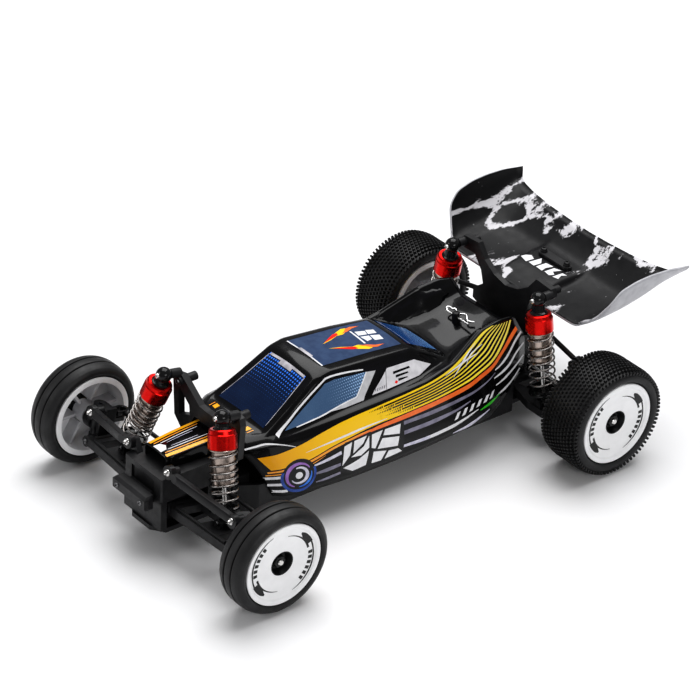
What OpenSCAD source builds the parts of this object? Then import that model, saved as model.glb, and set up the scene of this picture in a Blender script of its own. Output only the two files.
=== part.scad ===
// Rear-driven 1:10 off-road buggy: chassis, body shell, wing, four sprung wheels.
// Front faces -Y, the car's left side is +X, the tyres stand on Z = 0.

/* [Wheels] */
// Distance between the front and rear axles
wheelbase = 298; // [280:1:310]
// Height of the front axle, which is the front tyre's radius
front_tyre_r = 39.3; // [38:0.1:40]
// Height of the rear axle, which is the rear tyre's radius
rear_tyre_r = 42.5; // [41:0.1:43]
// Width of a front tyre
front_tyre_w = 24; // [22:1:26]
// Width of a rear tyre
rear_tyre_w = 38; // [34:1:39]
// Radius of the rim lips
rim_r = 31; // [30:0.1:32]
// Overall width over the tyres
overall_w = 250; // [248:1:256]

/* [Front suspension] */
// Rearward lean of the whole front suspension, in degrees
kick = 10.5; // [9:0.5:12]
// Length of a front shock between its two eyes
front_shock_l = 71.5; // [70:0.1:73]

/* [Rear suspension] */
// Length of a rear shock between its two eyes
rear_shock_l = 78.8; // [78:0.1:80]

/* [Body] */
// Thickness of the moulded body shell
shell_t = 1.2; // [1:0.1:1.6]
// Height of the chassis underside above the ground
chassis_z = 16; // [14:0.5:17]
// Half width of the chassis tub
tub_half_w = 37; // [34:0.5:38]

/* [Wing] */
// Thickness of the wing sheet
wing_t = 1.6; // [1.2:0.1:2]

/* [Springs] */
// Wire radius of the shock springs
wire_r = 0.6; // [0.5:0.05:0.7]
// Coil radius at the middle of the wire
coil_r = 9.3; // [9.2:0.05:9.6]
// Turns of each spring
turns = 7.5; // [6:0.5:9]

/* [Hidden] */
$fn = 48;

front_y = -174;                 // front axle line
rear_y = front_y + wheelbase;   // rear axle line
pin_r = 1.5;                    // hinge pins and ball studs
run = 0.05;                     // running clearance of a pin in its bore
loose = 0.5;                    // clearance at a pivot that is left open
floor_top = chassis_z + 3.5;
eps = 0.01;

// Front corner, left side, in the leaning frame: x outward, y along the hinge pins, z up
f_arm_in = [17, -9];            // inner hinge pin of the arm
f_arm_out = [84, -9.5];         // outer hinge pin of the arm
f_link_in = [23.5, 23.5];       // inner ball of the camber link
f_link_out = [82, 14.7];        // outer ball of the camber link
f_link_y = [-27, -15];          // the link's place along the pins, inner and outer
f_shock_top = [33.3, 65.2];
f_shock_bottom = [56.3, -2.5];
f_shock_y = 1.2;
king_x = 93;                    // steering axis
steer_y = 20;                   // length of the steering arm
tie_x = 22;                     // inner ball of the tie rod
tie_z = 4.75;

// Rear corner, left side: x outward, z up
r_arm_in = [22, 29.5];
r_arm_out = [80, 29.5];
r_link_in = [30, 76];
r_link_out = [73, 66.5];
r_link_y = 129;
r_shock_top = [47.3, 112.9];
r_shock_bottom = [62, 35.5];
r_shock_y = 108.8;
shaft_in_x = 25;                // inner and outer joints of the drive shaft
shaft_out_x = 76;

// Gear pair between the motor and the gearbox
gear_m = 1;
spur_teeth = 30;
pinion_teeth = 12;
spur_pos = [96, 48];            // y and z of the spur gear's axis
motor_pos = [75.3, 44.4];       // y and z of the motor's axis

// Distances along a shock from its top eye: cap top, cap end, body end, spring end
f_shock_steps = [7, 21, 46.5, 62];
r_shock_steps = [10, 24, 48.5, 70.5];

// ---------------------------------------------------------------- helpers

module on_side(s) {
    if (s > 0)
        children();
    else
        mirror([1, 0, 0]) children();
}

// The leaning frame of the front suspension
module front_frame() {
    translate([0, front_y, front_tyre_r]) rotate([-kick, 0, 0]) children();
}

// Cylinder along X between x0 and x1, centred on y and z
module bar_x(x0, x1, y, z, r) {
    translate([x0, y, z]) rotate([0, 90, 0]) cylinder(h = x1 - x0, r = r);
}

// Cylinder along Y between y0 and y1, centred on x and z
module bar_y(y0, y1, x, z, r) {
    translate([x, y0, z]) rotate([-90, 0, 0]) cylinder(h = y1 - y0, r = r);
}

// Straight round rod between two points that share one y
module rod_between(p, q, y0, y1, r) {
    d = [q[0] - p[0], y1 - y0, q[1] - p[1]];
    translate([p[0], y0, p[1]])
        rotate([0, acos(d[2] / norm(d)), atan2(d[1], d[0])])
            cylinder(h = norm(d), r = r);
}

// Box given by its lowest and highest corners
module box(low, high) {
    translate(low) cube(high - low);
}

// Box with its four upright edges rounded
module round_box(low, high, r) {
    translate([0, 0, low[2]]) linear_extrude(high[2] - low[2])
        hull()
            for (x = [low[0] + r, high[0] - r], y = [low[1] + r, high[1] - r])
                translate([x, y]) circle(r, $fn = 24);
}

// Plate standing across the car: its outline is in x and z, its thickness along y
module cross_plate(y0, y1) {
    translate([0, y1, 0]) rotate([90, 0, 0]) linear_extrude(y1 - y0) children();
}

// Solid of revolution about the X axis from an outline given as x and radius
module about_x(y, z) {
    translate([0, y, z]) rotate([90, 0, 90]) rotate_extrude($fn = 96)
        rotate([0, 0, 90]) mirror([0, 1, 0]) children();
}

// Outline point lists mirrored onto both sides
function both_sides(pts) = concat(pts, [for (i = [len(pts) - 1:-1:0]) [-pts[i][0], pts[i][1]]]);

// ---------------------------------------------------------------- chassis

module chassis_tub() {
    outline = [[10, -203], [20, -196], [20, -152], [35, -128], [tub_half_w, -110], [tub_half_w, 102],
               [30, 103], [28, 150], [12, 152]];
    wall = 2.5;
    color("#1b1b1d") {
        translate([0, 0, chassis_z]) linear_extrude(3.5) polygon(both_sides(outline));
        for (s = [1, -1]) on_side(s) {
            // side walls, taller beside the servo and the motor
            box([tub_half_w - wall, -110, floor_top], [tub_half_w, 60, 32]);
            box([tub_half_w - wall, 60, floor_top], [tub_half_w, 102, 53]);
            box([30, 99.5, floor_top], [tub_half_w, 102, 53]);
            translate([0, 0, floor_top])
                linear_extrude(18)
                    polygon([[21.9, -143.6], [25.2, -143.6], [35, -128], [37, -110], [34.5, -110],
                             [32.8, -127]]);
        }
        // battery bay end walls
        box([-26, -93, floor_top], [26, -90.5, 34]);
        box([-26, 10.5, floor_top], [26, 13, 34]);
        // rack guide
        box([-15, -156.5, floor_top], [15, -150.5, 33]);
    }
}

module front_bulkhead() {
    color("#222224") difference() {
        union() {
            // upper box
            round_box([-21.5, -201.5, 42], [21.5, -158, 61], 2);
            box([-12, -196.5, floor_top], [12, -158, 42.5]);
            // front and rear blocks that hold the hinge pins
            box([-21.5, -201.5, floor_top], [21.5, -196.5, 42.5]);
            box([-21.5, -162, floor_top], [21.5, -158, 42.5]);
            front_frame()
                for (s = [1, -1]) on_side(s) {
                    // post of the camber link's inner ball
                    hull() {
                        bar_y(-24.6, -20, f_link_in[0], f_link_in[1], 3.2, $fn = 24);
                        bar_y(-24.6, -20, 18, 17, 3, $fn = 24);
                    }
                    bar_y(f_link_y[0] - 3.5, -22, f_link_in[0], f_link_in[1], pin_r);
                    // inner hinge pin
                    bar_y(-24, 16, f_arm_in[0], f_arm_in[1], pin_r);
                }
        }
        // recess in the front face
        box([-13, -203, 46], [13, -200.3, 57]);
    }
}

module front_bumper() {
    color("#202022") difference() {
        union() {
            hull() {
                box([-18.5, -213.5, 40], [18.5, -210, 47]);
                box([-17, -211, 37.5], [17, -205, 48.8]);
            }
            box([-12, -206, 38.5], [12, -201.5, 47.5]);
        }
        for (x = [-13.5, 13.5])
            bar_y(-214, -209, x, 43.5, 1.6);
    }
}

module front_shock_tower() {
    outline = [[0, 86], [8, 86.5], [29, 101], [37, 99], [38.5, 94], [36.5, 66], [26, 56],
               [23, floor_top], [16.5, floor_top], [16.5, 70], [13, 75.5], [0, 75.5]];
    window = [[32, 91], [19.5, 81.5], [18.5, 74], [31, 68.5]];
    top = [f_shock_top[0], front_y + f_shock_y * cos(kick) + f_shock_top[1] * sin(kick),
           front_tyre_r - f_shock_y * sin(kick) + f_shock_top[1] * cos(kick)];
    color("#1e1e20") {
        difference() {
            cross_plate(-149, -144) polygon(both_sides(outline));
            for (s = [1, -1]) on_side(s)
                cross_plate(-150, -143) polygon(window);
        }
        for (s = [1, -1]) on_side(s) {
            // raised rib around the top of the arm, with the standoff behind it
            bar_y(-151, -136, 30, 96, 3.2);
            // bush that carries the shock's top eye
            translate(top) rotate([-kick, 0, 0]) {
                bar_y(-5, 14, 0, 0, pin_r);
                bar_y(5, 13.8, 0, 0, 3.4);
            }
        }
    }
}

module steering_servo() {
    color("#29292c") {
        round_box([-10, -141.5, floor_top + 0.1], [22.5, -126.5, 40.5], 1.5);
        translate([0, -134, 40]) cylinder(h = 2.3, r = 5.5);
        for (x = [-14, 22])
            box([x, -136, 31], [x + 4.5, -128, 33.5]);
        translate([0, -134, 42]) cylinder(h = 4.4, r = 2.5);
    }
}

module servo_horn() {
    color("#e8e8e8") difference() {
        union() {
            translate([0, -134, 43]) cylinder(h = 3, r = 5.5);
            translate([-3, -154, 43]) cube([6, 20, 3]);
            translate([0, -154, 43]) cylinder(h = 3, r = 3);
            translate([0, -154, 34]) cylinder(h = 9.6, r = pin_r);
        }
        translate([0, -134, 42]) cylinder(h = 6, r = 2.5 + run);
    }
}

module steering_rack() {
    color("#26262a") {
        difference() {
            box([-25.5, -157.2, 33.3], [25.5, -149.6, 36.5]);
            // slot for the horn's pin
            box([-1.9, -155.9, 33], [1.9, -150.4, 39]);
        }
        front_frame()
            for (s = [1, -1]) on_side(s) {
                // lug and pin of the tie rod's inner end
                box([tie_x - 3, steer_y + 2.1, 1], [tie_x + 3, steer_y + 3.4, tie_z + 3]);
                bar_y(steer_y - 2.2, steer_y + 3.4, tie_x, tie_z, pin_r);
            }
    }
}

module battery_pack() {
    color("#2d4fa0") round_box([-23, -90, floor_top + 0.1], [23, 10, 44], 5);
}

module speed_controller() {
    color("#303036") {
        round_box([-16, 16, floor_top + 0.1], [16, 48, 36], 2);
        for (i = [0:6])
            box([-14, 19 + 4 * i, 35.5], [14, 20.5 + 4 * i, 41]);
    }
}

module motor() {
    color("#8f9296") {
        bar_x(-33, 16, motor_pos[0], motor_pos[1], 17.8);
        bar_x(-34.1, -32, motor_pos[0], motor_pos[1], 6);
        bar_x(15, 20, motor_pos[0], motor_pos[1], 6);
        bar_x(19, 27, motor_pos[0], motor_pos[1], 1.6);
    }
}

// ---------------------------------------------------------------- gears and gearbox

// Straight-toothed gear along X; thin teeth leave backlash on both sides
module gear_x(x0, x1, pos, teeth, bore, turn) {
    pitch_r = gear_m * teeth / 2;
    root_r = pitch_r - 1.15 * gear_m;
    tip_r = pitch_r + 0.85 * gear_m;
    step = 360 / teeth;
    translate([x0, pos[0], pos[1]]) rotate([90, 0, 90]) linear_extrude(x1 - x0)
        difference() {
            polygon([for (i = [0:teeth - 1], k = [-1, -0.55, 0.55, 1])
                (abs(k) == 1 ? root_r : tip_r)
                    * [cos(turn + step * (i + k * 0.26)), sin(turn + step * (i + k * 0.26))]]);
            circle(bore);
        }
}

module motor_pinion() {
    color("#c9a227") gear_x(21.2, 25.8, motor_pos, pinion_teeth, 1.6 + run, 15 + mesh_turn());
}

module spur_gear() {
    color("#3c3c3f") {
        gear_x(21.5, 25.5, spur_pos, spur_teeth, 2 + run, mesh_turn());
    }
}

// Direction from the spur gear's axis to the motor's axis
function mesh_turn() =
    atan2(motor_pos[1] - spur_pos[1], motor_pos[0] - spur_pos[0]);

module gearbox_case() {
    color("#1c1c1e") {
        difference() {
            union() {
                round_box([-16.8, 93.6, floor_top], [16.8, 148, 66], 3);
                bar_x(-16.8, 16.8, 112, 52, 16);
                // blocks that hold the hinge pins
                box([-26.5, 103.5, floor_top], [26.5, 108.5, 33.2]);
                box([-27.5, 140, floor_top], [27.5, 145, 36]);
            }
            for (s = [1, -1]) on_side(s)
                box([16.8, 108.5, 18], [30, 140, 36]);
        }
        for (s = [1, -1]) on_side(s) {
            bar_y(106, 143, r_arm_in[0], r_arm_in[1], pin_r);
            // output cup of the differential
            difference() {
                bar_x(16, 29, rear_y, rear_tyre_r, 5.6);
                bar_x(20.5, 30, rear_y, rear_tyre_r, 3.8);
            }
        }
        // shaft of the spur gear
        bar_x(16, 27, spur_pos[0], spur_pos[1], 2);
        bar_x(16, 21, spur_pos[0], spur_pos[1], 4);
    }
}

module rear_shock_tower() {
    outline = [[0, 98], [13, 101], [24, 108], [32, 118.5], [48, 117.5], [50.5, 112], [47, 108],
               [35, 108], [27, 98], [24, 88], [34, 80], [34, 72], [20, 66.2], [0, 66.2]];
    color("#1b1b1d") {
        cross_plate(120, 124.5) polygon(both_sides(outline));
        for (s = [1, -1]) on_side(s) {
            // bush and pin that carry the shock's top eye
            bar_y(113.8, 121, r_shock_top[0], r_shock_top[1], 3.6);
            bar_y(103.6, 121, r_shock_top[0], r_shock_top[1], pin_r);
            bar_y(124, 131, r_shock_top[0] - 3, r_shock_top[1], 3);
            // stud of the camber link
            bar_y(124, 126.4, r_link_in[0], r_link_in[1], 3);
            bar_y(126, 133.5, r_link_in[0], r_link_in[1], pin_r);
        }
    }
}

// ---------------------------------------------------------------- body shell

// Half sections from the lower edge over the shoulder to the middle, as [x, y, z]
nose_rows = [
    [[12.2, -191, 61.4], [12.4, -191, 66], [12.2, -191, 69.6], [10.5, -191, 70.6], [0, -191, 71]],
    [[13.6, -168, 61.4], [14, -168, 66.5], [13.7, -168, 70.9], [12, -168, 71.9], [0, -168, 72.3]],
    [[14.6, -138, 61.4], [15, -138, 67], [14.6, -138, 71.7], [13, -138, 72.8], [0, -138, 73.4]]
];
body_rows = [
    [[38, -119, 27], [36.2, -126, 42], [33.5, -134, 56], [30.5, -142, 67], [26, -142, 70.6],
     [20, -142, 72.1], [14.5, -142, 72.8], [0, -142, 73.3]],
    [[44.5, -113, 27.5], [44, -115, 42], [42, -118, 57], [39, -122, 69.8], [35.5, -119, 73],
     [31, -122, 74.2], [28.2, -121, 74], [0, -123, 74.8]],
    [[49, -97, 27.5], [48.8, -97, 42.5], [46.3, -97, 58.5], [42.5, -99, 71], [37, -97, 74.6],
     [29.8, -98, 87], [25.5, -98, 87.4], [0, -99, 88.7]],
    [[51, -78, 27.5], [51, -78, 43], [48.5, -77, 60], [45, -76, 73.2], [38, -76, 76.4],
     [27.5, -74, 101.4], [21.8, -75.5, 101.8], [0, -76.5, 103]],
    [[52.5, -60, 27.6], [52.5, -60, 43], [49.7, -60, 60.4], [45.8, -60, 74.4], [38, -60, 77],
     [28, -63, 102.9], [22, -66, 104], [0, -66, 105]],
    [[53.5, -20, 27.8], [53.5, -20, 43.2], [50.3, -20, 59.8], [46, -20, 75.4], [38, -20, 77.4],
     [27.7, -22, 98.6], [21.6, -22, 100.2], [0, -22, 101.2]],
    [[53, 8, 28], [53, 8, 44], [50, 8, 60.4], [45.2, 10, 77.4], [37, 10, 77.2],
     [26.5, 14, 93.6], [21, 10, 96.4], [0, 10, 97.4]],
    [[51.5, 44, 28.6], [51.8, 44, 46], [48.6, 42, 64], [43, 38, 84.4], [34.5, 38, 77.5],
     [25, 44, 77.2], [20.5, 45, 77.2], [0, 46, 77.6]],
    [[50, 68, 29.6], [50, 68, 50], [46.6, 68, 76], [36.5, 66, 97.8], [29.5, 66, 91],
     [24, 68, 82], [18, 68, 81.4], [0, 69, 82]],
    [[45.6, 80, 31.4], [45.8, 81, 54], [43.6, 82, 80], [35.5, 84, 99.8], [29, 84, 94],
     [23.5, 84, 86], [17, 84, 85.6], [0, 84, 86.4]],
    [[40.5, 106, 54], [40.8, 106.5, 64], [39.6, 106, 80], [34.5, 98, 97.2], [28.5, 98, 93],
     [23, 99, 88], [16, 99, 87.8], [0, 99, 88.4]]
];

// One half section moved inward by t, measured square to its outline
function inset_row(row, t) = [for (i = [0:len(row) - 1])
    let (a = row[max(i - 1, 0)],
         b = row[min(i + 1, len(row) - 1)],
         d = [b[0] - a[0], b[2] - a[2]],
         n = (i == len(row) - 1 ? [0, -1] : [-d[1], d[0]] / max(norm(d), eps)))
    row[i] + t * [n[0], 0, n[1]]];

// Move a whole half section along the car and its lower edge down
function shift_row(row, dy, drop) = [for (i = [0:len(row) - 1])
    row[i] + [0, dy, i == 0 ? -drop : 0]];

// Full ring from the left lower edge over the top to the right lower edge
function full_ring(row) = concat(row, [for (i = [len(row) - 2:-1:0])
    [-row[i][0], row[i][1], row[i][2]]]);

// Closed solid through the rings; every ring has n points and the underside is closed flat
module loft(rows) {
    rings = [for (row = rows) full_ring(row)];
    n = len(rings[0]);
    last = n * (len(rings) - 1);
    half = (n - 1) / 2;
    polyhedron(
        points = [for (ring = rings, p = ring) p],
        faces = concat(
            [for (r = [0:len(rings) - 2], i = [0:n - 1], k = [0, 1])
                let (a = r * n + i, b = r * n + (i + 1) % n)
                k == 0 ? [a, b, a + n] : [b, b + n, a + n]],
            [for (i = [0:half - 1]) [i, n - 1 - i, i + 1]],
            [for (i = [0:half - 2]) [i + 1, n - 1 - i, n - 2 - i]],
            [for (i = [0:half - 1]) [last + i, last + i + 1, last + n - 1 - i]],
            [for (i = [0:half - 2]) [last + i + 1, last + n - 2 - i, last + n - 1 - i]]));
}

module body_shell() {
    n = len(body_rows);
    nose_in = [for (row = nose_rows) inset_row(row, shell_t)];
    body_in = [for (row = body_rows) inset_row(row, shell_t)];
    color("#121214") difference() {
        union() {
            loft(nose_rows);
            loft(body_rows);
        }
        loft([shift_row(nose_in[0], shell_t, 4), shift_row(nose_in[1], 0, 4),
              shift_row(nose_in[2], 3, 4)]);
        loft(concat([shift_row(body_in[0], -4, 4)],
                    [for (i = [0:n - 1]) shift_row(body_in[i], 0, 4)],
                    [shift_row(body_in[n - 1], 6, 4)]));
        // hole of the body post
        translate([0, 74, 70]) cylinder(h = 30, r = 3.4);
    }
}

module body_clip() {
    color("#c8ccd0") {
        // body post
        translate([0, 74, 64]) cylinder(h = 27, r = 2.8);
        // spring clip through the post
        bar_x(-5, 12, 74, 87, 0.7);
        bar_x(-5, 12, 77.6, 87, 0.7);
        translate([-5, 75.8, 87]) rotate_extrude() translate([1.8, 0]) circle(0.7, $fn = 16);
    }
}

// ---------------------------------------------------------------- wing

// Upper surface from the middle outward, as [x, y, z]; the first two points of a row
// carry the raised box in the middle of the floor
wing_rows = [
    [[0, 126, 96.5], [22, 126, 96.5], [25.5, 126, 96.5], [45, 126, 96.5], [64, 126, 96.6],
     [68, 126.5, 96.7], [70, 127.5, 96.9], [71, 129, 97.2], [71.4, 131, 97.6]],
    [[0, 136, 97.6], [22, 136, 97.6], [25.5, 136, 96.4], [45, 136, 96.4], [66, 136, 97],
     [73, 136, 98.6], [76.5, 136, 101], [78.6, 136, 103.4], [79.6, 136, 105]],
    [[0, 142, 99.6], [22, 142, 99.6], [25.5, 142, 96.4], [45, 142, 96.4], [67, 142, 97.4],
     [76, 142, 100.8], [82.5, 141.5, 106.6], [86.4, 141, 113], [88, 141, 118.4]],
    [[0, 150, 101.8], [22, 150, 101.8], [25.5, 150, 96.6], [45, 150, 96.6], [67, 150, 97.8],
     [77, 150, 102], [84, 150, 109.4], [87.6, 149, 118.4], [89.2, 148.6, 127]],
    [[0, 163, 102.4], [22, 163, 102.4], [25.5, 163, 97.4], [45, 163, 97.6], [67, 163, 99],
     [77, 163, 103.4], [84.5, 163, 111.4], [88.2, 163, 121.4], [89.8, 162.6, 130.6]],
    [[0, 180, 102.8], [22, 180, 102.8], [25.5, 177, 100.4], [45, 177, 100.6], [66, 177, 102],
     [77.5, 177, 106.6], [85, 177, 114.4], [88.6, 177, 123], [90, 176.6, 131.6]],
    [[0, 190, 108.8], [22, 190, 108.8], [25.5, 190, 108.9], [45, 190, 109.2], [66, 190, 110.4],
     [78, 191, 113.6], [85.6, 192, 119], [89, 193, 125.4], [90.4, 194, 130.8]],
    [[0, 200.5, 117], [22, 200.8, 117.4], [25.5, 201, 117.5], [45, 201.7, 118.2],
     [66, 203.5, 119.6], [80, 206, 121], [86.2, 209.6, 122.6], [89.2, 212.6, 125],
     [90.6, 213.5, 127.6]]
];

function wing_point(i, j, up) =
    let (p = wing_rows[i][abs(j)],
         a = wing_rows[i][max(abs(j) - 1, 0)],
         b = wing_rows[i][min(abs(j) + 1, 8)],
         d = [b[0] - a[0], b[2] - a[2]] / norm([b[0] - a[0], b[2] - a[2]]),
         q = up ? p : p + wing_t * [d[1], 0, -d[0]])
    [sign(j) * q[0], q[1], q[2]];

module wing() {
    rows = len(wing_rows);
    m = 17;
    under = rows * m;
    function top(i, j) = i * m + j;
    function low(i, j) = under + i * m + j;
    color("#2a2a2c")
        polyhedron(
            points = concat(
                [for (i = [0:rows - 1], j = [-8:8]) wing_point(i, j, true)],
                [for (i = [0:rows - 1], j = [-8:8]) wing_point(i, j, false)]),
            faces = concat(
                [for (i = [0:rows - 2], j = [0:m - 2], k = [0, 1])
                    k == 0 ? [top(i, j), top(i + 1, j), top(i, j + 1)]
                           : [top(i, j + 1), top(i + 1, j), top(i + 1, j + 1)]],
                [for (i = [0:rows - 2], j = [0:m - 2], k = [0, 1])
                    k == 0 ? [low(i, j), low(i, j + 1), low(i + 1, j)]
                           : [low(i, j + 1), low(i + 1, j + 1), low(i + 1, j)]],
                [for (j = [0:m - 2], k = [0, 1])
                    k == 0 ? [top(0, j), top(0, j + 1), low(0, j)]
                           : [top(0, j + 1), low(0, j + 1), low(0, j)]],
                [for (j = [0:m - 2], k = [0, 1])
                    k == 0 ? [top(rows - 1, j), low(rows - 1, j), top(rows - 1, j + 1)]
                           : [top(rows - 1, j + 1), low(rows - 1, j), low(rows - 1, j + 1)]],
                [for (i = [0:rows - 2], k = [0, 1])
                    k == 0 ? [top(i, 0), low(i, 0), top(i + 1, 0)]
                           : [top(i + 1, 0), low(i, 0), low(i + 1, 0)]],
                [for (i = [0:rows - 2], k = [0, 1])
                    k == 0 ? [top(i, m - 1), top(i + 1, m - 1), low(i, m - 1)]
                           : [top(i + 1, m - 1), low(i + 1, m - 1), low(i, m - 1)]]));
}

module wing_mount() {
    color("#1a1a1c") {
        for (x = [-15, 11])
            translate([x + 4, 0, 0]) rotate([0, -90, 0]) linear_extrude(4)
                polygon([[66.1, 138], [66.1, 152], [80, 156], [100.6, 176], [100.6, 163], [99.9, 150.4],
                         [84, 140]]);
        box([-13, 143, 66.1], [13, 148, 72]);
        // clamp bar on top of the wing with its two screws
        hull()
            for (x = [-13, 13])
                translate([x, 168, 102.7]) cylinder(h = 2.4, r = 3.6, $fn = 32);
        for (x = [-12.6, 12.6])
            translate([x, 168, 105]) cylinder(h = 1.6, r = 2.6);
    }
}

// ---------------------------------------------------------------- front corner

module front_arm(s) {
    color("#1d1d1f") on_side(s) front_frame() difference() {
        union() {
            bar_y(-19.5, 11.3, f_arm_in[0], f_arm_in[1], 4);
            difference() {
                translate([0, 0, -12]) linear_extrude(6)
                    polygon([[17, -18.5], [30, -18.5], [78, -15], [78, 15], [30, 11], [17, 11]]);
                // two windows between the ribs
                translate([0, 0, -13]) linear_extrude(8)
                    polygon([[25, -14], [47, -12.4], [47, 7.6], [25, 6.4]]);
                translate([0, 0, -13]) linear_extrude(8)
                    polygon([[65, -11], [73.5, -10.4], [73.5, 10], [65, 9.4]]);
                // room below the shock's lower eye
                box([f_shock_bottom[0] - 5, f_shock_y - 3.7, -7.6],
                    [f_shock_bottom[0] + 5, f_shock_y + 3.7, -5]);
            }
            // outer lugs
            for (y = [-15, 10]) {
                bar_y(y, y + 5, f_arm_out[0], f_arm_out[1], 4);
                box([76, y, -12], [f_arm_out[0], y + 5, -6]);
            }
            // lugs and pin of the shock
            for (y = [f_shock_y - 6.2, f_shock_y + 3.7])
                hull() {
                    bar_y(y, y + 2.5, f_shock_bottom[0], f_shock_bottom[1], 3, $fn = 32);
                    box([f_shock_bottom[0] - 3.5, y, -8], [f_shock_bottom[0] + 3.5, y + 2.5, -6.5]);
                }
            bar_y(f_shock_y - 6, f_shock_y + 6, f_shock_bottom[0], f_shock_bottom[1], pin_r);
        }
        bar_y(-21, 13, f_arm_in[0], f_arm_in[1], pin_r + run);
        bar_y(-16, 16, f_arm_out[0], f_arm_out[1], pin_r + run);
    }
}

module front_caster_block(s) {
    color("#17171a") on_side(s) front_frame() difference() {
        union() {
            bar_y(-9.5, 9.5, f_arm_out[0], f_arm_out[1], 4);
            bar_y(-15.6, 15.6, f_arm_out[0], f_arm_out[1], pin_r);
            box([82, -6.5, -12], [85.3, 6.5, 14]);
            // lugs above and below the knuckle
            for (z = [-14, 10]) {
                box([82, -5, z], [king_x, 5, z + 4]);
                translate([king_x, 0, z]) cylinder(h = 4, r = 5);
            }
            // bracket and stud of the camber link
            box([79.6, -12.6, 11], [84.6, -4, 14.8]);
            bar_y(-12.6, -6.5, f_link_out[0], f_link_out[1], 3.2);
            bar_y(f_link_y[1] - 3.4, -8, f_link_out[0], f_link_out[1], pin_r);
        }
        translate([king_x, 0, -16]) cylinder(h = 32, r = pin_r + run);
    }
}

module front_knuckle(s) {
    color("#131315") on_side(s) front_frame() {
        translate([king_x, 0, -4.8]) cylinder(h = 14.5, r = 6);
        translate([king_x, 0, -9.7]) cylinder(h = 6, r = 4.4);
        translate([king_x, 0, -15]) cylinder(h = 30, r = pin_r);
        bar_x(king_x, 101, 0, 0, 7.5);
        bar_x(100, 117, 0, 0, 2.5);
        // steering arm with its stud
        box([king_x - 3, 3, -2], [king_x + 3, steer_y, 1.1]);
        translate([king_x, steer_y, -2]) cylinder(h = 3.1, r = 3.2);
        translate([king_x, steer_y, 0]) cylinder(h = 8.4, r = pin_r);
    }
}

module front_camber_link(s) {
    color("#26262a") on_side(s) front_frame() difference() {
        union() {
            bar_y(f_link_y[0] - 2, f_link_y[0] + 2, f_link_in[0], f_link_in[1], 5);
            bar_y(f_link_y[1] - 2, f_link_y[1] + 2, f_link_out[0], f_link_out[1], 5);
            hull() {
                bar_y(f_link_y[0] - 2, f_link_y[0] + 2, f_link_in[0] + 7, f_link_in[1] - 1, 3.2);
                bar_y(f_link_y[1] - 2, f_link_y[1] + 2, f_link_out[0] - 3, f_link_out[1] + 0.5, 3.2);
            }
        }
        bar_y(f_link_y[0] - 4, f_link_y[0] + 4, f_link_in[0], f_link_in[1], pin_r + run);
        bar_y(f_link_y[1] - 4, f_link_y[1] + 4, f_link_out[0], f_link_out[1], pin_r + loose);
    }
}

module front_tie_rod(s) {
    outer_low = tie_z - 1.5;
    slot_r = pin_r + 1.35;
    color("#a9adb3") on_side(s) front_frame() difference() {
        union() {
            bar_y(steer_y - 1.7, steer_y + 1.7, tie_x, tie_z, 3.1);
            translate([king_x, steer_y, outer_low]) cylinder(h = 3.4, r = 4.9);
            box([king_x - 4.4, steer_y - 6.4, outer_low], [king_x + 4.4, steer_y, outer_low + 3.4]);
            bar_x(tie_x + 2, king_x - 3, steer_y, tie_z, 1.6);
        }
        bar_y(steer_y - 3, steer_y + 3, tie_x, tie_z, pin_r + run);
        // slot that lets the stud follow its arc
        translate([king_x, steer_y + 0.2, 0]) cylinder(h = 9, r = slot_r);
        translate([king_x - slot_r, steer_y - 1.8, 0]) cube([2 * slot_r, 2, 9]);
        translate([king_x, steer_y - 1.8, 0]) cylinder(h = 9, r = slot_r);
    }
}

// ---------------------------------------------------------------- wheels

// Rim with its hub, ribs, lips and hub nut; face is the outer lip's x
module rim(s, y, z, inner_x, face_x, hub_x, lip_r, bore) {
    bead = lip_r - 2.6;
    wall = 1.6;
    color("#f2f2f2") on_side(s) {
        about_x(y, z) polygon([
            [inner_x, bead - wall], [inner_x, lip_r], [inner_x + 1.6, lip_r], [inner_x + 2.2, bead],
            [face_x - 3, bead], [face_x - 2, lip_r], [face_x - 0.4, lip_r], [face_x, lip_r - 0.8],
            [face_x - 1.6, bead - 1.5], [face_x - 2.6, 8.8], [face_x - 8.2, 6.2],
            [face_x - 8.2, bore + run], [hub_x, bore + run], [hub_x, 6.5], [face_x - 10.5, 7.4],
            [face_x - 5, 10.4], [face_x - 4.4, bead - wall]]);
        // ribs behind the face
        for (k = [0:5])
            translate([0, y, z]) rotate([60 * k + 30, 0, 0])
                box([face_x - 15, -1.1, 6.9], [face_x - 4.5, 1.1, bead - 1]);
        // hexagonal nut in the hub recess
        translate([face_x - 8.2, y, z]) rotate([0, 90, 0]) difference() {
            cylinder(h = 4, r = 4.2, $fn = 6);
            translate([0, 0, -1]) cylinder(h = 3.6, r = bore + run);
        }
    }
}

module front_rim(s) {
    rim(s, front_y, front_tyre_r, 99, overall_w / 2 - 2, 103, rim_r - 0.2, 2.5);
}

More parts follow.
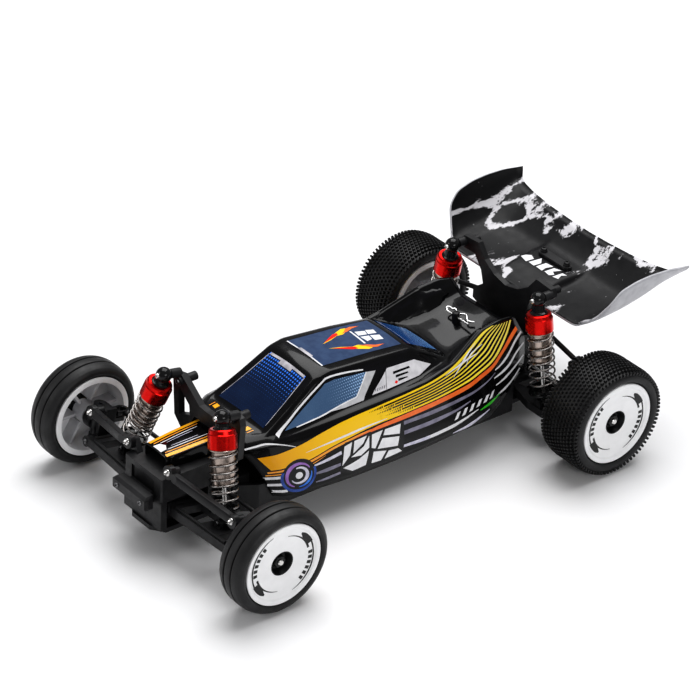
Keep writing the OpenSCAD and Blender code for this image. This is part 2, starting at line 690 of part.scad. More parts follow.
module front_tyre(s) {
    x1 = overall_w / 2 - 1.6;
    x0 = x1 - front_tyre_w - 0.4;
    bead = rim_r - 2.8 + 0.05;
    top = front_tyre_r;
    groove_x = 3.7;
    color("#1a1a1b") on_side(s) about_x(front_y, front_tyre_r) difference() {
        polygon([[x0 + 3.2, bead], [x0 + 2.8, 30.9], [x0 + 0.9, 31.6], [x0, 33.4], [x0 + 0.4, 35.6],
                 [x0 + 2, 37.4], [x0 + 4.6, 38.6], [x0 + 7, top - 0.3], [x0 + 9.6, top],
                 [x1 - 9.6, top], [x1 - 7, top - 0.3], [x1 - 4.6, 38.6], [x1 - 2, 37.4],
                 [x1 - 0.4, 35.6], [x1, 33.4], [x1 - 0.9, 31.6], [x1 - 4, 30.9],
                 [x1 - 4.6, bead]]);
        // two circumferential grooves beside the middle rib
        for (x = [-groove_x, groove_x])
            translate([(x0 + x1) / 2 + x - 0.65, top - 1.8]) square([1.3, 3]);
    }
}

module rear_rim(s) {
    rim(s, rear_y, rear_tyre_r, 87.5, overall_w / 2 - 1, 93.4, rim_r + 0.5, 2.5);
    color("#8b8e92") on_side(s) {
        // wheel axle with the cup of the drive shaft
        bar_x(83, 118, rear_y, rear_tyre_r, 2.5);
        bar_x(95, 110, rear_y, rear_tyre_r, 3);
        difference() {
            bar_x(72.5, 83.5, rear_y, rear_tyre_r, 5.2);
            bar_x(72, 81, rear_y, rear_tyre_r, 3.8);
        }
    }
}

module rear_tyre(s) {
    x1 = overall_w / 2;
    x0 = x1 - rear_tyre_w - 0.4;
    bead = rim_r - 2.1 + 0.05;
    top = rear_tyre_r;
    color("#161617") on_side(s) about_x(rear_y, rear_tyre_r)
        polygon([[x0 + 3.6, bead], [x0 + 3.2, 31.7], [x0 + 0.8, 32.6], [x0, 35], [x0 + 0.6, 38],
                 [x0 + 2.6, 40.4], [x0 + 6, 41.8], [x0 + 12, top], [x1 - 12, top], [x1 - 6, 41.8],
                 [x1 - 2.6, 40.4], [x1 - 0.6, 38], [x1, 35], [x1 - 0.8, 32.6], [x1 - 4.4, 31.7],
                 [x1 - 5.2, bead]]);
}

// ---------------------------------------------------------------- shocks

// Places a shock drawn along +Z from its lower eye up to its top eye at the origin
module shock_frame(top, bottom, y) {
    lean = atan2(bottom[0] - top[0], top[1] - bottom[1]);
    translate([top[0], y, top[1]]) rotate([0, -lean, 0]) children();
}

module shock_cap(st) {
    color("#d32020") {
        difference() {
            union() {
                bar_y(-3.6, 3.6, 0, 0, 5.6);
                translate([0, 0, -st[0]]) cylinder(h = st[0] - 3, r = 4.6);
            }
            bar_y(-8, 8, 0, 0, pin_r + run);
        }
        translate([0, 0, -st[1]]) cylinder(h = st[1] - st[0], r = 9.6, $fn = 12);
        translate([0, 0, -st[0] - 3]) cylinder(h = 3, r1 = 9.9, r2 = 8.2);
        translate([0, 0, -st[1]]) cylinder(h = 2, r = 9.9);
    }
}

module shock_body(st) {
    color("#b9b4ae") difference() {
        translate([0, 0, -st[2]]) cylinder(h = st[2] - st[1] - 0.02, r = 8.2);
        translate([0, 0, -st[2] - 1]) cylinder(h = 2, r = 5);
        translate([0, 0, -st[2] - 1]) cylinder(h = st[2] - st[1] - 3, r = pin_r + run);
    }
}

module shock_rod(st, l) {
    color("#d9dadc") difference() {
        union() {
            translate([0, 0, -st[3] - 1.6]) cylinder(h = st[3] - st[2] + 9, r = pin_r);
            translate([0, 0, -st[3] - 2.6]) cylinder(h = 2, r = 10.2);
            translate([0, 0, -l + 2.6]) cylinder(h = l - st[3] - 4.6, r = 2.9);
            bar_y(-3.2, 3.2, 0, -l, 3.2);
        }
        bar_y(-8, 8, 0, -l, pin_r + loose);
    }
}

// Round wire wound between two heights, with closed flat-cut ends
module coil_spring(st) {
    z0 = -st[3] + wire_r - 0.5;
    z1 = -st[1] - wire_r - 0.4;
    per_turn = 20;
    sides = 6;
    steps = turns * per_turn;
    color("#c4c6c9") polyhedron(
        points = [for (i = [0:steps], k = [0:sides - 1])
            let (a = 360 * i / per_turn, b = 360 * k / sides, r = coil_r + wire_r * cos(b))
            [r * cos(a), r * sin(a), z0 + (z1 - z0) * i / steps + wire_r * sin(b)]],
        faces = concat(
            [[for (k = [sides - 1:-1:0]) k]],
            [for (i = [0:steps - 1], k = [0:sides - 1], h = [0, 1])
                let (a = i * sides + k, b = i * sides + (k + 1) % sides)
                h == 0 ? [a, b, a + sides] : [b, b + sides, a + sides]],
            [[for (k = [0:sides - 1]) steps * sides + k]]));
}

module front_shock(s) {
    on_side(s) front_frame() shock_frame(f_shock_top, f_shock_bottom, f_shock_y) children();
}

module rear_shock(s) {
    on_side(s) shock_frame(r_shock_top, r_shock_bottom, r_shock_y) children();
}

// ---------------------------------------------------------------- rear corner

module rear_arm(s) {
    z0 = r_arm_in[1] - 3.2;
    z1 = r_arm_in[1] + 2.8;
    color("#1d1d1f") on_side(s) difference() {
        union() {
            bar_y(109, 139.5, r_arm_in[0], r_arm_in[1], 4);
            difference() {
                translate([0, 0, z0]) linear_extrude(z1 - z0)
                    polygon([[22, 109.3], [28, 109.2], [35, 106.3], [52, 102], [68, 102], [74, 111],
                             [74, 137], [32, 139.2], [22, 139.2]]);
                translate([0, 0, z0 - 1]) linear_extrude(8)
                    polygon([[30, 113], [52, 117], [52, 133], [30, 134.5]]);
                translate([0, 0, z0 - 1]) linear_extrude(8)
                    polygon([[57, 118.5], [69, 118.5], [69, 132], [57, 133]]);
                // room below the shock's lower eye
                box([r_shock_bottom[0] - 5, r_shock_y - 3.7, z1 - 1.6],
                    [r_shock_bottom[0] + 5, r_shock_y + 3.7, z1 + 1]);
            }
            // outer lugs
            for (y = [111.4, 131.6]) {
                bar_y(y, y + 5, r_arm_out[0], r_arm_out[1], 4);
                box([72, y, z0], [r_arm_out[0], y + 5, z1]);
            }
            // lugs and pin of the shock
            for (y = [r_shock_y - 6.2, r_shock_y + 3.7])
                hull() {
                    bar_y(y, y + 2.5, r_shock_bottom[0], r_shock_bottom[1], 3, $fn = 32);
                    box([r_shock_bottom[0] - 3.5, y, z1 - 2], [r_shock_bottom[0] + 3.5, y + 2.5, z1]);
                }
            bar_y(r_shock_y - 6, r_shock_y + 6, r_shock_bottom[0], r_shock_bottom[1], pin_r);
        }
        bar_y(108, 141, r_arm_in[0], r_arm_in[1], pin_r + run);
        bar_y(110, 138, r_arm_out[0], r_arm_out[1], pin_r + run);
    }
}

module rear_hub_carrier(s) {
    color("#17171a") on_side(s) difference() {
        union() {
            bar_y(117, 131, r_arm_out[0], r_arm_out[1], 4);
            bar_y(111, 137, r_arm_out[0], r_arm_out[1], pin_r);
            box([84.2, 118, 30], [92.6, 130, 44]);
            box([78, 118, 26.5], [92.6, 130, 32]);
            bar_x(84.2, 92.8, rear_y, rear_tyre_r, 9.5);
            // upper arm with the stud of the camber link
            hull() {
                box([84.4, 121, 48], [90, 127, 51]);
                bar_y(122, 126.6, r_link_out[0], r_link_out[1], 3, $fn = 32);
            }
            bar_y(122, 133.5, r_link_out[0], r_link_out[1], pin_r);
        }
        bar_x(84, 94, rear_y, rear_tyre_r, 2.5 + run);
    }
}

module rear_camber_link(s) {
    color("#26262a") on_side(s) difference() {
        union() {
            bar_y(r_link_y - 2, r_link_y + 2, r_link_in[0], r_link_in[1], 4.2);
            bar_y(r_link_y - 2, r_link_y + 2, r_link_out[0], r_link_out[1], 4.2);
            rod_between(r_link_in + [3, -0.6], r_link_out - [3, -0.6], r_link_y, r_link_y, 1.9);
        }
        bar_y(r_link_y - 4, r_link_y + 4, r_link_in[0], r_link_in[1], pin_r + run);
        bar_y(r_link_y - 4, r_link_y + 4, r_link_out[0], r_link_out[1], pin_r + loose);
    }
}

module rear_drive_shaft(s) {
    color("#9a9ca0") on_side(s) {
        bar_x(shaft_in_x, shaft_out_x, rear_y, rear_tyre_r, 2);
        for (x = [shaft_in_x, shaft_out_x]) {
            translate([x, rear_y, rear_tyre_r]) sphere(3.2);
            bar_y(rear_y - 3.3, rear_y + 3.3, x, rear_tyre_r, 1);
        }
    }
}

// ---------------------------------------------------------------- nodes

chassis_tub();
front_bulkhead();
front_bumper();
front_shock_tower();
steering_servo();
servo_horn();
steering_rack();
battery_pack();
speed_controller();
motor();
motor_pinion();
spur_gear();
gearbox_case();
rear_shock_tower();
body_shell();
body_clip();
wing();
wing_mount();

front_arm(1);  // left_front_arm
front_caster_block(1);  // left_front_caster_block
front_knuckle(1);  // left_front_knuckle
front_camber_link(1);  // left_front_camber_link
front_tie_rod(1);  // left_front_tie_rod
front_rim(1);  // left_front_rim
front_tyre(1);  // left_front_tyre
front_shock(1) shock_cap(f_shock_steps);  // left_front_shock_cap
front_shock(1) shock_body(f_shock_steps);  // left_front_shock_body
front_shock(1) shock_rod(f_shock_steps, front_shock_l);  // left_front_shock_rod
front_shock(1) coil_spring(f_shock_steps);  // left_front_spring

front_arm(-1);  // right_front_arm
front_caster_block(-1);  // right_front_caster_block
front_knuckle(-1);  // right_front_knuckle
front_camber_link(-1);  // right_front_camber_link
front_tie_rod(-1);  // right_front_tie_rod
front_rim(-1);  // right_front_rim
front_tyre(-1);  // right_front_tyre
front_shock(-1) shock_cap(f_shock_steps);  // right_front_shock_cap
front_shock(-1) shock_body(f_shock_steps);  // right_front_shock_body
front_shock(-1) shock_rod(f_shock_steps, front_shock_l);  // right_front_shock_rod
front_shock(-1) coil_spring(f_shock_steps);  // right_front_spring

rear_arm(1);  // left_rear_arm
rear_hub_carrier(1);  // left_rear_hub_carrier
rear_camber_link(1);  // left_rear_camber_link
rear_drive_shaft(1);  // left_rear_drive_shaft
rear_rim(1);  // left_rear_rim
rear_tyre(1);  // left_rear_tyre
rear_shock(1) shock_cap(r_shock_steps);  // left_rear_shock_cap
rear_shock(1) shock_body(r_shock_steps);  // left_rear_shock_body
rear_shock(1) shock_rod(r_shock_steps, rear_shock_l);  // left_rear_shock_rod
rear_shock(1) coil_spring(r_shock_steps);  // left_rear_spring

rear_arm(-1);  // right_rear_arm
rear_hub_carrier(-1);  // right_rear_hub_carrier
rear_camber_link(-1);  // right_rear_camber_link
rear_drive_shaft(-1);  // right_rear_drive_shaft
rear_rim(-1);  // right_rear_rim
rear_tyre(-1);  // right_rear_tyre
rear_shock(-1) shock_cap(r_shock_steps);  // right_rear_shock_cap
rear_shock(-1) shock_body(r_shock_steps);  // right_rear_shock_body
rear_shock(-1) shock_rod(r_shock_steps, rear_shock_l);  // right_rear_shock_rod
rear_shock(-1) coil_spring(r_shock_steps);  // right_rear_spring
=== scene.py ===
"""Looks of a 1:10 off-road buggy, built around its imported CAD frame."""
import math

import bmesh
import bpy
from mathutils import Matrix, Vector
from mathutils.bvhtree import BVHTree
from mathutils.geometry import delaunay_2d_cdt


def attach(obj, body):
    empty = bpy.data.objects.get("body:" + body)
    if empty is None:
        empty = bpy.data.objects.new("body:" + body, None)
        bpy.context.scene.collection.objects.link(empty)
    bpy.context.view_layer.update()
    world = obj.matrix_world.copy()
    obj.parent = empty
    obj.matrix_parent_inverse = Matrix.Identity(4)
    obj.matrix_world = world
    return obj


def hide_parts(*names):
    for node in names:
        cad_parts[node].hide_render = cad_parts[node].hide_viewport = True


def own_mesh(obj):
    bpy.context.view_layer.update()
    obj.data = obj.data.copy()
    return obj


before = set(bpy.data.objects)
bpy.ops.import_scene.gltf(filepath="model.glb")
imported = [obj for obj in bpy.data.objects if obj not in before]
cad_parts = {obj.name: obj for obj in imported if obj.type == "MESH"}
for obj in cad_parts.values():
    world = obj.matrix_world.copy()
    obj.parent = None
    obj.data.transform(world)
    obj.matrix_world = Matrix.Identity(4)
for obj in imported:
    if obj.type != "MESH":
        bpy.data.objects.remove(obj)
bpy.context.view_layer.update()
MM = 0.001
SIDES = {"left": 1, "right": -1}

# ---------------------------------------------------------------- driving dimensions, mm
FRONT_Y, FRONT_R = -174.0, 39.3
REAR_Y, REAR_R = 124.0, 42.5
KICK = 10.5
FACE = {"front": 123.0, "rear": 124.0}
LIP_R = {"front": 30.8, "rear": 31.5}
RIM_BACK = {"front": 99.0, "rear": 87.5}
HUB_BACK = {"front": 103.0, "rear": 93.4}
TYRE_SPAN = {"front": (99.0, 123.4), "rear": (86.6, 125.0)}
BORE = 2.5
RECESS_R = 8.9          # edge of the conical hub recess
RECESS_DEPTH = 2.6      # how far that edge lies behind the rim's face
SHOCKS = {
    # steps: distances from the top eye to the cap, to the cap's end, to the body's end, to the spring's end
    "front": dict(top=(33.3, 65.2), bottom=(56.3, -2.5), y=1.2, steps=(7, 21, 46.5, 62), length=71.5),
    "rear": dict(top=(47.3, 112.9), bottom=(62, 35.5), y=108.8, steps=(10, 24, 48.5, 70.5), length=78.8),
}


# ---------------------------------------------------------------- finishes

class Finish:
    """A Principled material with helpers for its procedural detail."""

    def __init__(self, name, color=(0.5, 0.5, 0.5), **sockets):
        self.material = bpy.data.materials.new(name)
        self.material.use_nodes = True
        self.tree = self.material.node_tree
        self.shader = self.tree.nodes["Principled BSDF"]
        self.shader.inputs["Base Color"].default_value = (*color, 1)
        for key, value in sockets.items():
            self.shader.inputs[key.replace("_", " ").title().replace("Ior", "IOR")].default_value = value

    def node(self, kind, links=(), **values):
        made = self.tree.nodes.new(kind)
        for key, value in values.items():
            setattr(made, key, value)
        for socket, source in dict(links).items():
            if isinstance(source, bpy.types.NodeSocket):
                self.tree.links.new(source, made.inputs[socket])
            else:
                made.inputs[socket].default_value = source
        return made

    def place(self, stretch=(1, 1, 1)):
        """Object coordinates, stretched so that a pattern can be longer one way."""
        source = self.node("ShaderNodeTexCoord").outputs["Object"]
        return self.node("ShaderNodeMapping", {"Vector": source, "Scale": stretch}).outputs[0]

    def axes(self):
        split = self.node("ShaderNodeSeparateXYZ", {0: self.place()})
        return split.outputs

    def noise(self, size, detail=3.0, stretch=(1, 1, 1), roughness=0.55):
        """Noise whose blotches are about size millimetres across."""
        return self.node("ShaderNodeTexNoise", {
            "Vector": self.place(stretch), "Scale": 1 / (size * MM), "Detail": detail,
            "Roughness": roughness}).outputs["Fac"]

    def maths(self, operation, *values):
        return self.node("ShaderNodeMath", dict(enumerate(values)), operation=operation).outputs[0]

    def ramp(self, value, *stops, mode="LINEAR"):
        made = self.node("ShaderNodeValToRGB", {"Fac": value})
        made.color_ramp.interpolation = mode
        elements = made.color_ramp.elements
        while len(elements) < len(stops):
            elements.new(1.0)
        for element, (place, color) in zip(elements, stops):
            element.position = place
            element.color = (*color, 1) if len(color) == 3 else color
        return made.outputs["Color"]

    def mix(self, factor, a, b):
        return self.node("ShaderNodeMix", {0: factor, 6: a, 7: b}, data_type="RGBA").outputs[2]

    def level(self, value, low, high, start=0.0, end=1.0):
        return self.node("ShaderNodeMapRange", {
            "Value": value, "From Min": start, "From Max": end, "To Min": low, "To Max": high}).outputs[0]

    def colour_from(self, source):
        self.tree.links.new(source, self.shader.inputs["Base Color"])
        return self

    def rough(self, low, high, size=6.0, stretch=(1, 1, 1)):
        value = self.level(self.noise(size, 4.0, stretch), low, high, 0.3, 0.7)
        self.tree.links.new(value, self.shader.inputs["Roughness"])
        return self

    def bump(self, size, depth, detail=2.0, stretch=(1, 1, 1), edges=0.0):
        """Surface grain of a size and depth in millimetres, with softened edges if asked."""
        links = {"Height": self.noise(size, detail, stretch), "Distance": depth * MM, "Strength": 1.0}
        if edges:
            links["Normal"] = self.node("ShaderNodeBevel", {"Radius": edges * MM}, samples=4).outputs[0]
        made = self.node("ShaderNodeBump", links)
        self.tree.links.new(made.outputs[0], self.shader.inputs["Normal"])
        return self

    def speckle(self, size, dark, light, stretch=(1, 1, 1)):
        """Slow colour variation between two close colours."""
        return self.colour_from(self.ramp(self.noise(size, 4.0, stretch), (0.35, dark), (0.65, light)))


def moulded(name, dark, light, low=0.38, high=0.55, edges=0.5, grain=0.035):
    made = Finish(name, specular_ior_level=0.32)
    return made.speckle(9, dark, light).rough(low, high, 5).bump(0.45, grain, edges=edges)


def metal(name, color, low, high, stretch=(1, 1, 1), edges=0.0):
    made = Finish(name, color, metallic=1.0)
    brighter = tuple(min(1, c * 1.06) for c in color)
    made.speckle(4, color, brighter).rough(low, high, 2.5, stretch)
    return made.bump(1.2, 0.0012, 2, stretch, edges)


def printed(name, dark, light, low=0.14, high=0.24, coat=0.22, specular=0.2, blotch=7):
    """Glossy vinyl sticker under the same clear coat as the paint."""
    made = Finish(name, coat_weight=coat, coat_roughness=0.05, specular_ior_level=specular)
    return made.speckle(blotch, dark, light).rough(low, high, 12).bump(5.0, 0.004)


def yellow_print():
    """Orange-yellow at the front, lemon towards the tail."""
    made = Finish("sticker_yellow", coat_weight=0.18, coat_roughness=0.05, specular_ior_level=0.15)
    y = made.axes()[1]
    grain = made.maths("MULTIPLY", made.noise(5, 4.0), 0.03)
    along = made.maths("ADD", made.level(y, 0, 1, -0.125, 0.105), grain)
    made.colour_from(made.ramp(along, (0.0, (0.96, 0.42, 0.010)), (0.20, (1.0, 0.58, 0.012)),
                               (0.60, (1.0, 0.70, 0.02)), (0.80, (1.0, 0.80, 0.07)),
                               (1.0, (0.90, 0.76, 0.16))))
    return made.rough(0.14, 0.20, 12).bump(5.0, 0.004)


def dotted_print(name, base, dot, axes, pitch, grow, tilt=0.0):
    """Halftone dots on a ground colour; grow is where along the second axis the dots fade out and peak."""
    made = Finish(name, coat_weight=0.3, coat_roughness=0.04, specular_ior_level=0.2)
    split = made.axes()
    u, v = (made.maths("DIVIDE", split[a], pitch * MM) for a in axes)
    if tilt:
        u, v = made.maths("ADD", u, made.maths("MULTIPLY", v, tilt)), v
    du, dv = (made.maths("SUBTRACT", made.maths("FRACT", t), 0.5) for t in (u, v))
    away = made.maths("SQRT", made.maths("ADD", made.maths("MULTIPLY", du, du),
                                         made.maths("MULTIPLY", dv, dv)))
    size = made.level(split[grow[0]], 0.0, 0.34, grow[1] * MM, grow[2] * MM)
    mask = made.level(made.maths("SUBTRACT", size, away), 0, 1, -0.06, 0.06)
    ground = made.ramp(made.noise(14, 3.0), (0.3, base[0]), (0.7, base[1]))
    made.colour_from(made.mix(mask, ground, (*dot, 1)))
    return made.rough(0.10, 0.16, 12).bump(5.0, 0.003)


def torn_print():
    """Black wing print with torn white bands, and a plain pale underside."""
    made = Finish("wing_print", specular_ior_level=0.22)
    wide = made.noise(34, 2.0, (0.75, 0.32, 0.75))
    ragged = made.noise(5.5, 8.0, (1, 0.35, 1), 0.75)
    fleck = made.noise(2.2, 3.0)
    bands = made.maths("ABSOLUTE", made.maths("SUBTRACT", wide, 0.56))
    value = made.maths("ADD", made.maths("MULTIPLY", bands, 7.5), made.maths("MULTIPLY", ragged, 1.5))
    torn = made.ramp(value, (0.86, (0.66, 0.65, 0.68)), (0.92, (0.008, 0.008, 0.009)))
    dust = made.ramp(fleck, (0.735, (0, 0, 0)), (0.75, (0.45, 0.45, 0.46)))
    both = made.node("ShaderNodeMix", {0: 1.0, 6: torn, 7: dust}, data_type="RGBA",
                     blend_type="ADD").outputs[2]
    made.colour_from(both)
    return made.rough(0.34, 0.46, 6).bump(0.8, 0.012)


def paint_black():
    """Deep black paint with faint purple-grey brushed streaks."""
    made = Finish("body_black", coat_weight=0.28, coat_roughness=0.03, specular_ior_level=0.12)
    streak = made.noise(7, 5.0, (1, 0.07, 1), 0.6)
    made.colour_from(made.ramp(streak, (0.52, (0.0026, 0.0026, 0.0030)), (0.76, (0.007, 0.0065, 0.010))))
    return made.rough(0.18, 0.24, 12).bump(5.0, 0.004)


PLASTIC = moulded("black_nylon", (0.011, 0.011, 0.012), (0.018, 0.018, 0.0195))
PLASTIC_DARK = moulded("black_nylon_smooth", (0.006, 0.006, 0.007), (0.011, 0.011, 0.012), 0.26, 0.4,
                       0.4, 0.02)
GLOSS_BLACK = moulded("black_gloss", (0.006, 0.006, 0.006), (0.010, 0.010, 0.011), 0.08, 0.16, 0.0, 0.008)
RUBBER = moulded("tyre_rubber", (0.013, 0.013, 0.0135), (0.021, 0.021, 0.022), 0.42, 0.56, 0.0, 0.02)
KNOB_RUBBER = moulded("pin_rubber", (0.008, 0.008, 0.0085), (0.015, 0.015, 0.016), 0.45, 0.62, 0.0, 0.03)
RIM_WHITE = moulded("rim_white", (0.88, 0.88, 0.89), (0.93, 0.93, 0.94), 0.28, 0.4, 0.3, 0.015)
# painted shade: a grey copy of the white rim plastic for the hub boss and spokes behind the face
RIM_PAINTED_SHADE = moulded("rim_inside", (0.50, 0.50, 0.52), (0.62, 0.62, 0.64), 0.35, 0.5, 0.3, 0.02)
RIM_INK = moulded("rim_ink", (0.008, 0.008, 0.008), (0.014, 0.014, 0.014), 0.25, 0.4, 0.0, 0.01)
# painted shade: the hub recess is given near black so that it looks as dark as the shade deep inside it
HUB_PAINTED_SHADE = moulded("hub_recess", (0.004, 0.004, 0.0045), (0.007, 0.007, 0.008), 0.3, 0.45, 0.0, 0.02)
RED = metal("red_anodised", (0.62, 0.012, 0.010), 0.22, 0.34)
ALUMINIUM = metal("shock_aluminium", (0.44, 0.37, 0.33), 0.20, 0.34, (1, 1, 0.2))
STEEL = metal("bright_steel", (0.60, 0.59, 0.58), 0.18, 0.30)
SPRING = metal("spring_wire", (0.34, 0.32, 0.31), 0.20, 0.32)
SCREW = metal("black_oxide", (0.16, 0.16, 0.165), 0.24, 0.36)
CHROME = metal("clip_wire", (0.80, 0.80, 0.80), 0.08, 0.16)
BRASS = metal("brass", (0.62, 0.42, 0.12), 0.25, 0.4)
CAN = metal("motor_can", (0.34, 0.35, 0.37), 0.28, 0.42)
WHITE_NYLON = moulded("white_nylon", (0.62, 0.62, 0.60), (0.74, 0.74, 0.72), 0.4, 0.55)
BATTERY = moulded("battery_wrap", (0.012, 0.045, 0.20), (0.02, 0.065, 0.27), 0.2, 0.34, 0.6, 0.02)
BODY = paint_black()
WING_TOP = torn_print()
WING_UNDER = moulded("wing_under", (0.44, 0.44, 0.47), (0.54, 0.54, 0.57), 0.3, 0.42, 0.0, 0.012)
YELLOW = yellow_print()
ORANGE = printed("sticker_orange", (0.90, 0.16, 0.03), (0.98, 0.22, 0.05))
AMBER = printed("sticker_amber", (0.95, 0.34, 0.03), (1.0, 0.45, 0.06))
WHITE = printed("sticker_white", (0.80, 0.80, 0.83), (0.92, 0.92, 0.94))
LILAC = printed("sticker_lilac", (0.17, 0.16, 0.22), (0.27, 0.26, 0.34))
PALE = printed("sticker_pale", (0.52, 0.51, 0.66), (0.80, 0.79, 0.88))
GREY = printed("sticker_grey", (0.50, 0.50, 0.52), (0.62, 0.62, 0.64))
SLATE = printed("sticker_slate", (0.10, 0.10, 0.11), (0.15, 0.15, 0.16))
GREEN = printed("sticker_green", (0.03, 0.42, 0.02), (0.06, 0.60, 0.04))
INK = printed("sticker_black", (0.004, 0.004, 0.005), (0.008, 0.008, 0.010))
FLAME = printed("sticker_flame", (0.80, 0.016, 0.012), (0.92, 0.03, 0.016), 0.14, 0.20, 0.18, 0.15, 6)
SILVER = printed("sticker_silver", (0.32, 0.31, 0.34), (0.62, 0.60, 0.64), 0.1, 0.2)
ROOF = printed("sticker_roof", (0.030, 0.055, 0.125), (0.045, 0.080, 0.165))
NAVY = printed("sticker_navy", (0.01, 0.035, 0.22), (0.03, 0.10, 0.42))
VIOLET = printed("sticker_violet", (0.24, 0.10, 0.40), (0.42, 0.22, 0.62))
AZURE = printed("sticker_azure", (0.02, 0.13, 0.62), (0.05, 0.26, 0.85))
GOLD = printed("sticker_gold", (0.96, 0.42, 0.01), (1.0, 0.50, 0.02))
PANEL = printed("sticker_panel", (0.60, 0.59, 0.62), (0.76, 0.75, 0.78))
GLASS_FRONT = dotted_print("windshield_print", ((0.002, 0.010, 0.040), (0.004, 0.016, 0.055)),
                           (0.05, 0.24, 0.95), (0, 1), 2.3, (1, -104, -79))
GLASS_SIDE = dotted_print("side_window_print", ((0.06, 0.12, 0.23), (0.08, 0.15, 0.27)),
                          (0.40, 0.62, 0.92), (1, 2), 1.9, (1, -72, -36), 0.5)
GLASS_REAR = dotted_print("rear_window_print", ((0.008, 0.045, 0.17), (0.012, 0.075, 0.25)),
                          (0.25, 0.50, 0.85), (0, 1), 1.5, (1, 16, 44), 0.5)


# ---------------------------------------------------------------- mesh helpers

class Shape:
    """Points and faces gathered in millimetres, each face with the index of its finish."""

    def __init__(self):
        self.points, self.faces, self.marks = [], [], []

    def add(self, points, faces, mark=0):
        start = len(self.points)
        self.points += [Vector(p) for p in points]
        self.faces += [tuple(start + i for i in face) for face in faces]
        self.marks += [mark] * len(faces)
        return self

    def grid(self, rows, mark=0, round_rows=False, round_columns=False, caps=False):
        """Quads through rows of equal length."""
        n, m = len(rows), len(rows[0])
        faces = []
        for i in range(n if round_columns else n - 1):
            for j in range(m if round_rows else m - 1):
                k, l = (i + 1) % n, (j + 1) % m
                faces.append((i * m + j, i * m + l, k * m + l, k * m + j))
        if caps:
            faces += [tuple(range(m))[::-1], tuple((n - 1) * m + j for j in range(m))]
        return self.add([p for row in rows for p in row], faces, mark)

    def turned(self, outline, matrix=Matrix(), segments=64, mark=0, closed=False, flats=0):
        """Outline of (radius, height) pairs turned round the local Z axis; flats cuts that many flats."""
        def reach(angle):
            if not flats:
                return 1.0
            part = 2 * math.pi / flats
            return max(math.cos(part / 2) / math.cos((angle + part / 2) % part - part / 2), 0) * 1.03

        rows = []
        for s in range(segments):
            angle = 2 * math.pi * s / segments
            cut = min(1.0, reach(angle))
            rows.append([matrix @ Vector((r * cut * math.cos(angle), r * cut * math.sin(angle), z))
                         for r, z in outline])
        return self.grid(rows, mark, round_rows=closed, round_columns=True)

    def tube(self, path, radius, sides=10, mark=0):
        """Round rod or wire along a path of points."""
        rows = []
        normal = None
        for i, point in enumerate(path):
            along = (path[min(i + 1, len(path) - 1)] - path[max(i - 1, 0)]).normalized()
            if normal is None:
                normal = along.orthogonal().normalized()
            normal = (normal - along * normal.dot(along)).normalized()
            across = along.cross(normal)
            rows.append([point + radius * (normal * math.cos(a) + across * math.sin(a))
                         for a in (2 * math.pi * k / sides for k in range(sides))])
        return self.grid(rows, mark, round_rows=True, caps=True)

    def ball(self, matrix, radius, mark=0, stretch=1.0):
        steps = 16
        outline = [(radius * math.sin(math.pi * k / steps), radius * stretch * math.cos(math.pi * k / steps))
                   for k in range(steps + 1)]
        return self.turned(outline, matrix, 28, mark)

    def box(self, ends, matrix=Matrix(), mark=0):
        """A bar between two rectangles, each given as four corners in rows of two."""
        return self.add([matrix @ Vector(c) for c in ends],
                        [(0, 1, 3, 2), (4, 6, 7, 5), (0, 4, 5, 1), (2, 3, 7, 6), (0, 2, 6, 4), (1, 5, 7, 3)],
                        mark)

    def mirrored(self):
        other = Shape()
        other.points = [Vector((-p.x, p.y, p.z)) for p in self.points]
        other.faces = [face[::-1] for face in self.faces]
        other.marks = list(self.marks)
        return other


def piece(name, shape, finishes, body, stands_for=(), slot=None, angle=32, closed=True, thick=0.0):
    """A Blender object made from a shape, riding on a CAD body."""
    mesh = bpy.data.meshes.new(name)
    bm = bmesh.new()
    points = [bm.verts.new(p * MM) for p in shape.points]
    for face, mark in zip(shape.faces, shape.marks):
        if len(set(face)) < 3:
            continue
        made = bm.faces.new([points[i] for i in face])
        made.material_index = mark
        made.smooth = True
    bmesh.ops.remove_doubles(bm, verts=bm.verts, dist=0.002 * MM)
    bmesh.ops.dissolve_degenerate(bm, edges=bm.edges, dist=0.001 * MM)
    if closed:
        bmesh.ops.recalc_face_normals(bm, faces=bm.faces)
    bm.to_mesh(mesh)
    bm.free()
    mesh.set_sharp_from_angle(angle=math.radians(angle))
    made = bpy.data.objects.new(name, mesh)
    bpy.context.scene.collection.objects.link(made)
    for finish in finishes:
        mesh.materials.append(finish.material)
    if thick:
        wall = made.modifiers.new("wall", "SOLIDIFY")
        wall.thickness = thick * MM
        wall.offset = -1
        if len(finishes) > 1:
            wall.material_offset = 1
            wall.material_offset_rim = 1
    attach(made, body)
    if stands_for:
        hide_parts(*stands_for)
    return made


def both_sides(name, shape, finishes, body, stands_for=(), slot=None, **more):
    """The left piece and its mirror image; names hold {} where the side goes."""
    for side, sign in SIDES.items():
        one = shape if sign > 0 else shape.mirrored()
        piece(name.format(side), one, finishes, body.format(side),
              [n.format(side) for n in stands_for], slot, **more)


def soften(points, radius, steps=3, middle=0, wide=None):
    """A polyline with its corners rounded; every segment gets the same number of middle points.
    wide is the number of a corner that gets the largest radius that fits."""
    def reach(corner, length):
        return 0.42 * length if corner == wide else min(radius, 0.42 * length)

    out = [points[0]]
    for i in range(1, len(points)):
        a, b = points[i - 1], points[i]
        length = (b - a).length
        way = (b - a) / max(length, 1e-6)
        start = a if i == 1 else a + way * reach(i - 1, length)
        end = b if i == len(points) - 1 else b - way * reach(i, length)
        out += [start.lerp(end, k / (middle + 1)) for k in range(1, middle + 1)]
        if i == len(points) - 1:
            out.append(end)
            break
        after = points[i + 1]
        next_length = (after - b).length
        far = b + (after - b) * (reach(i, next_length) / max(next_length, 1e-6))
        for k in range(steps + 1):
            t = k / steps
            out.append(end * (1 - t) ** 2 + b * (2 * t * (1 - t)) + far * t ** 2)
    return out


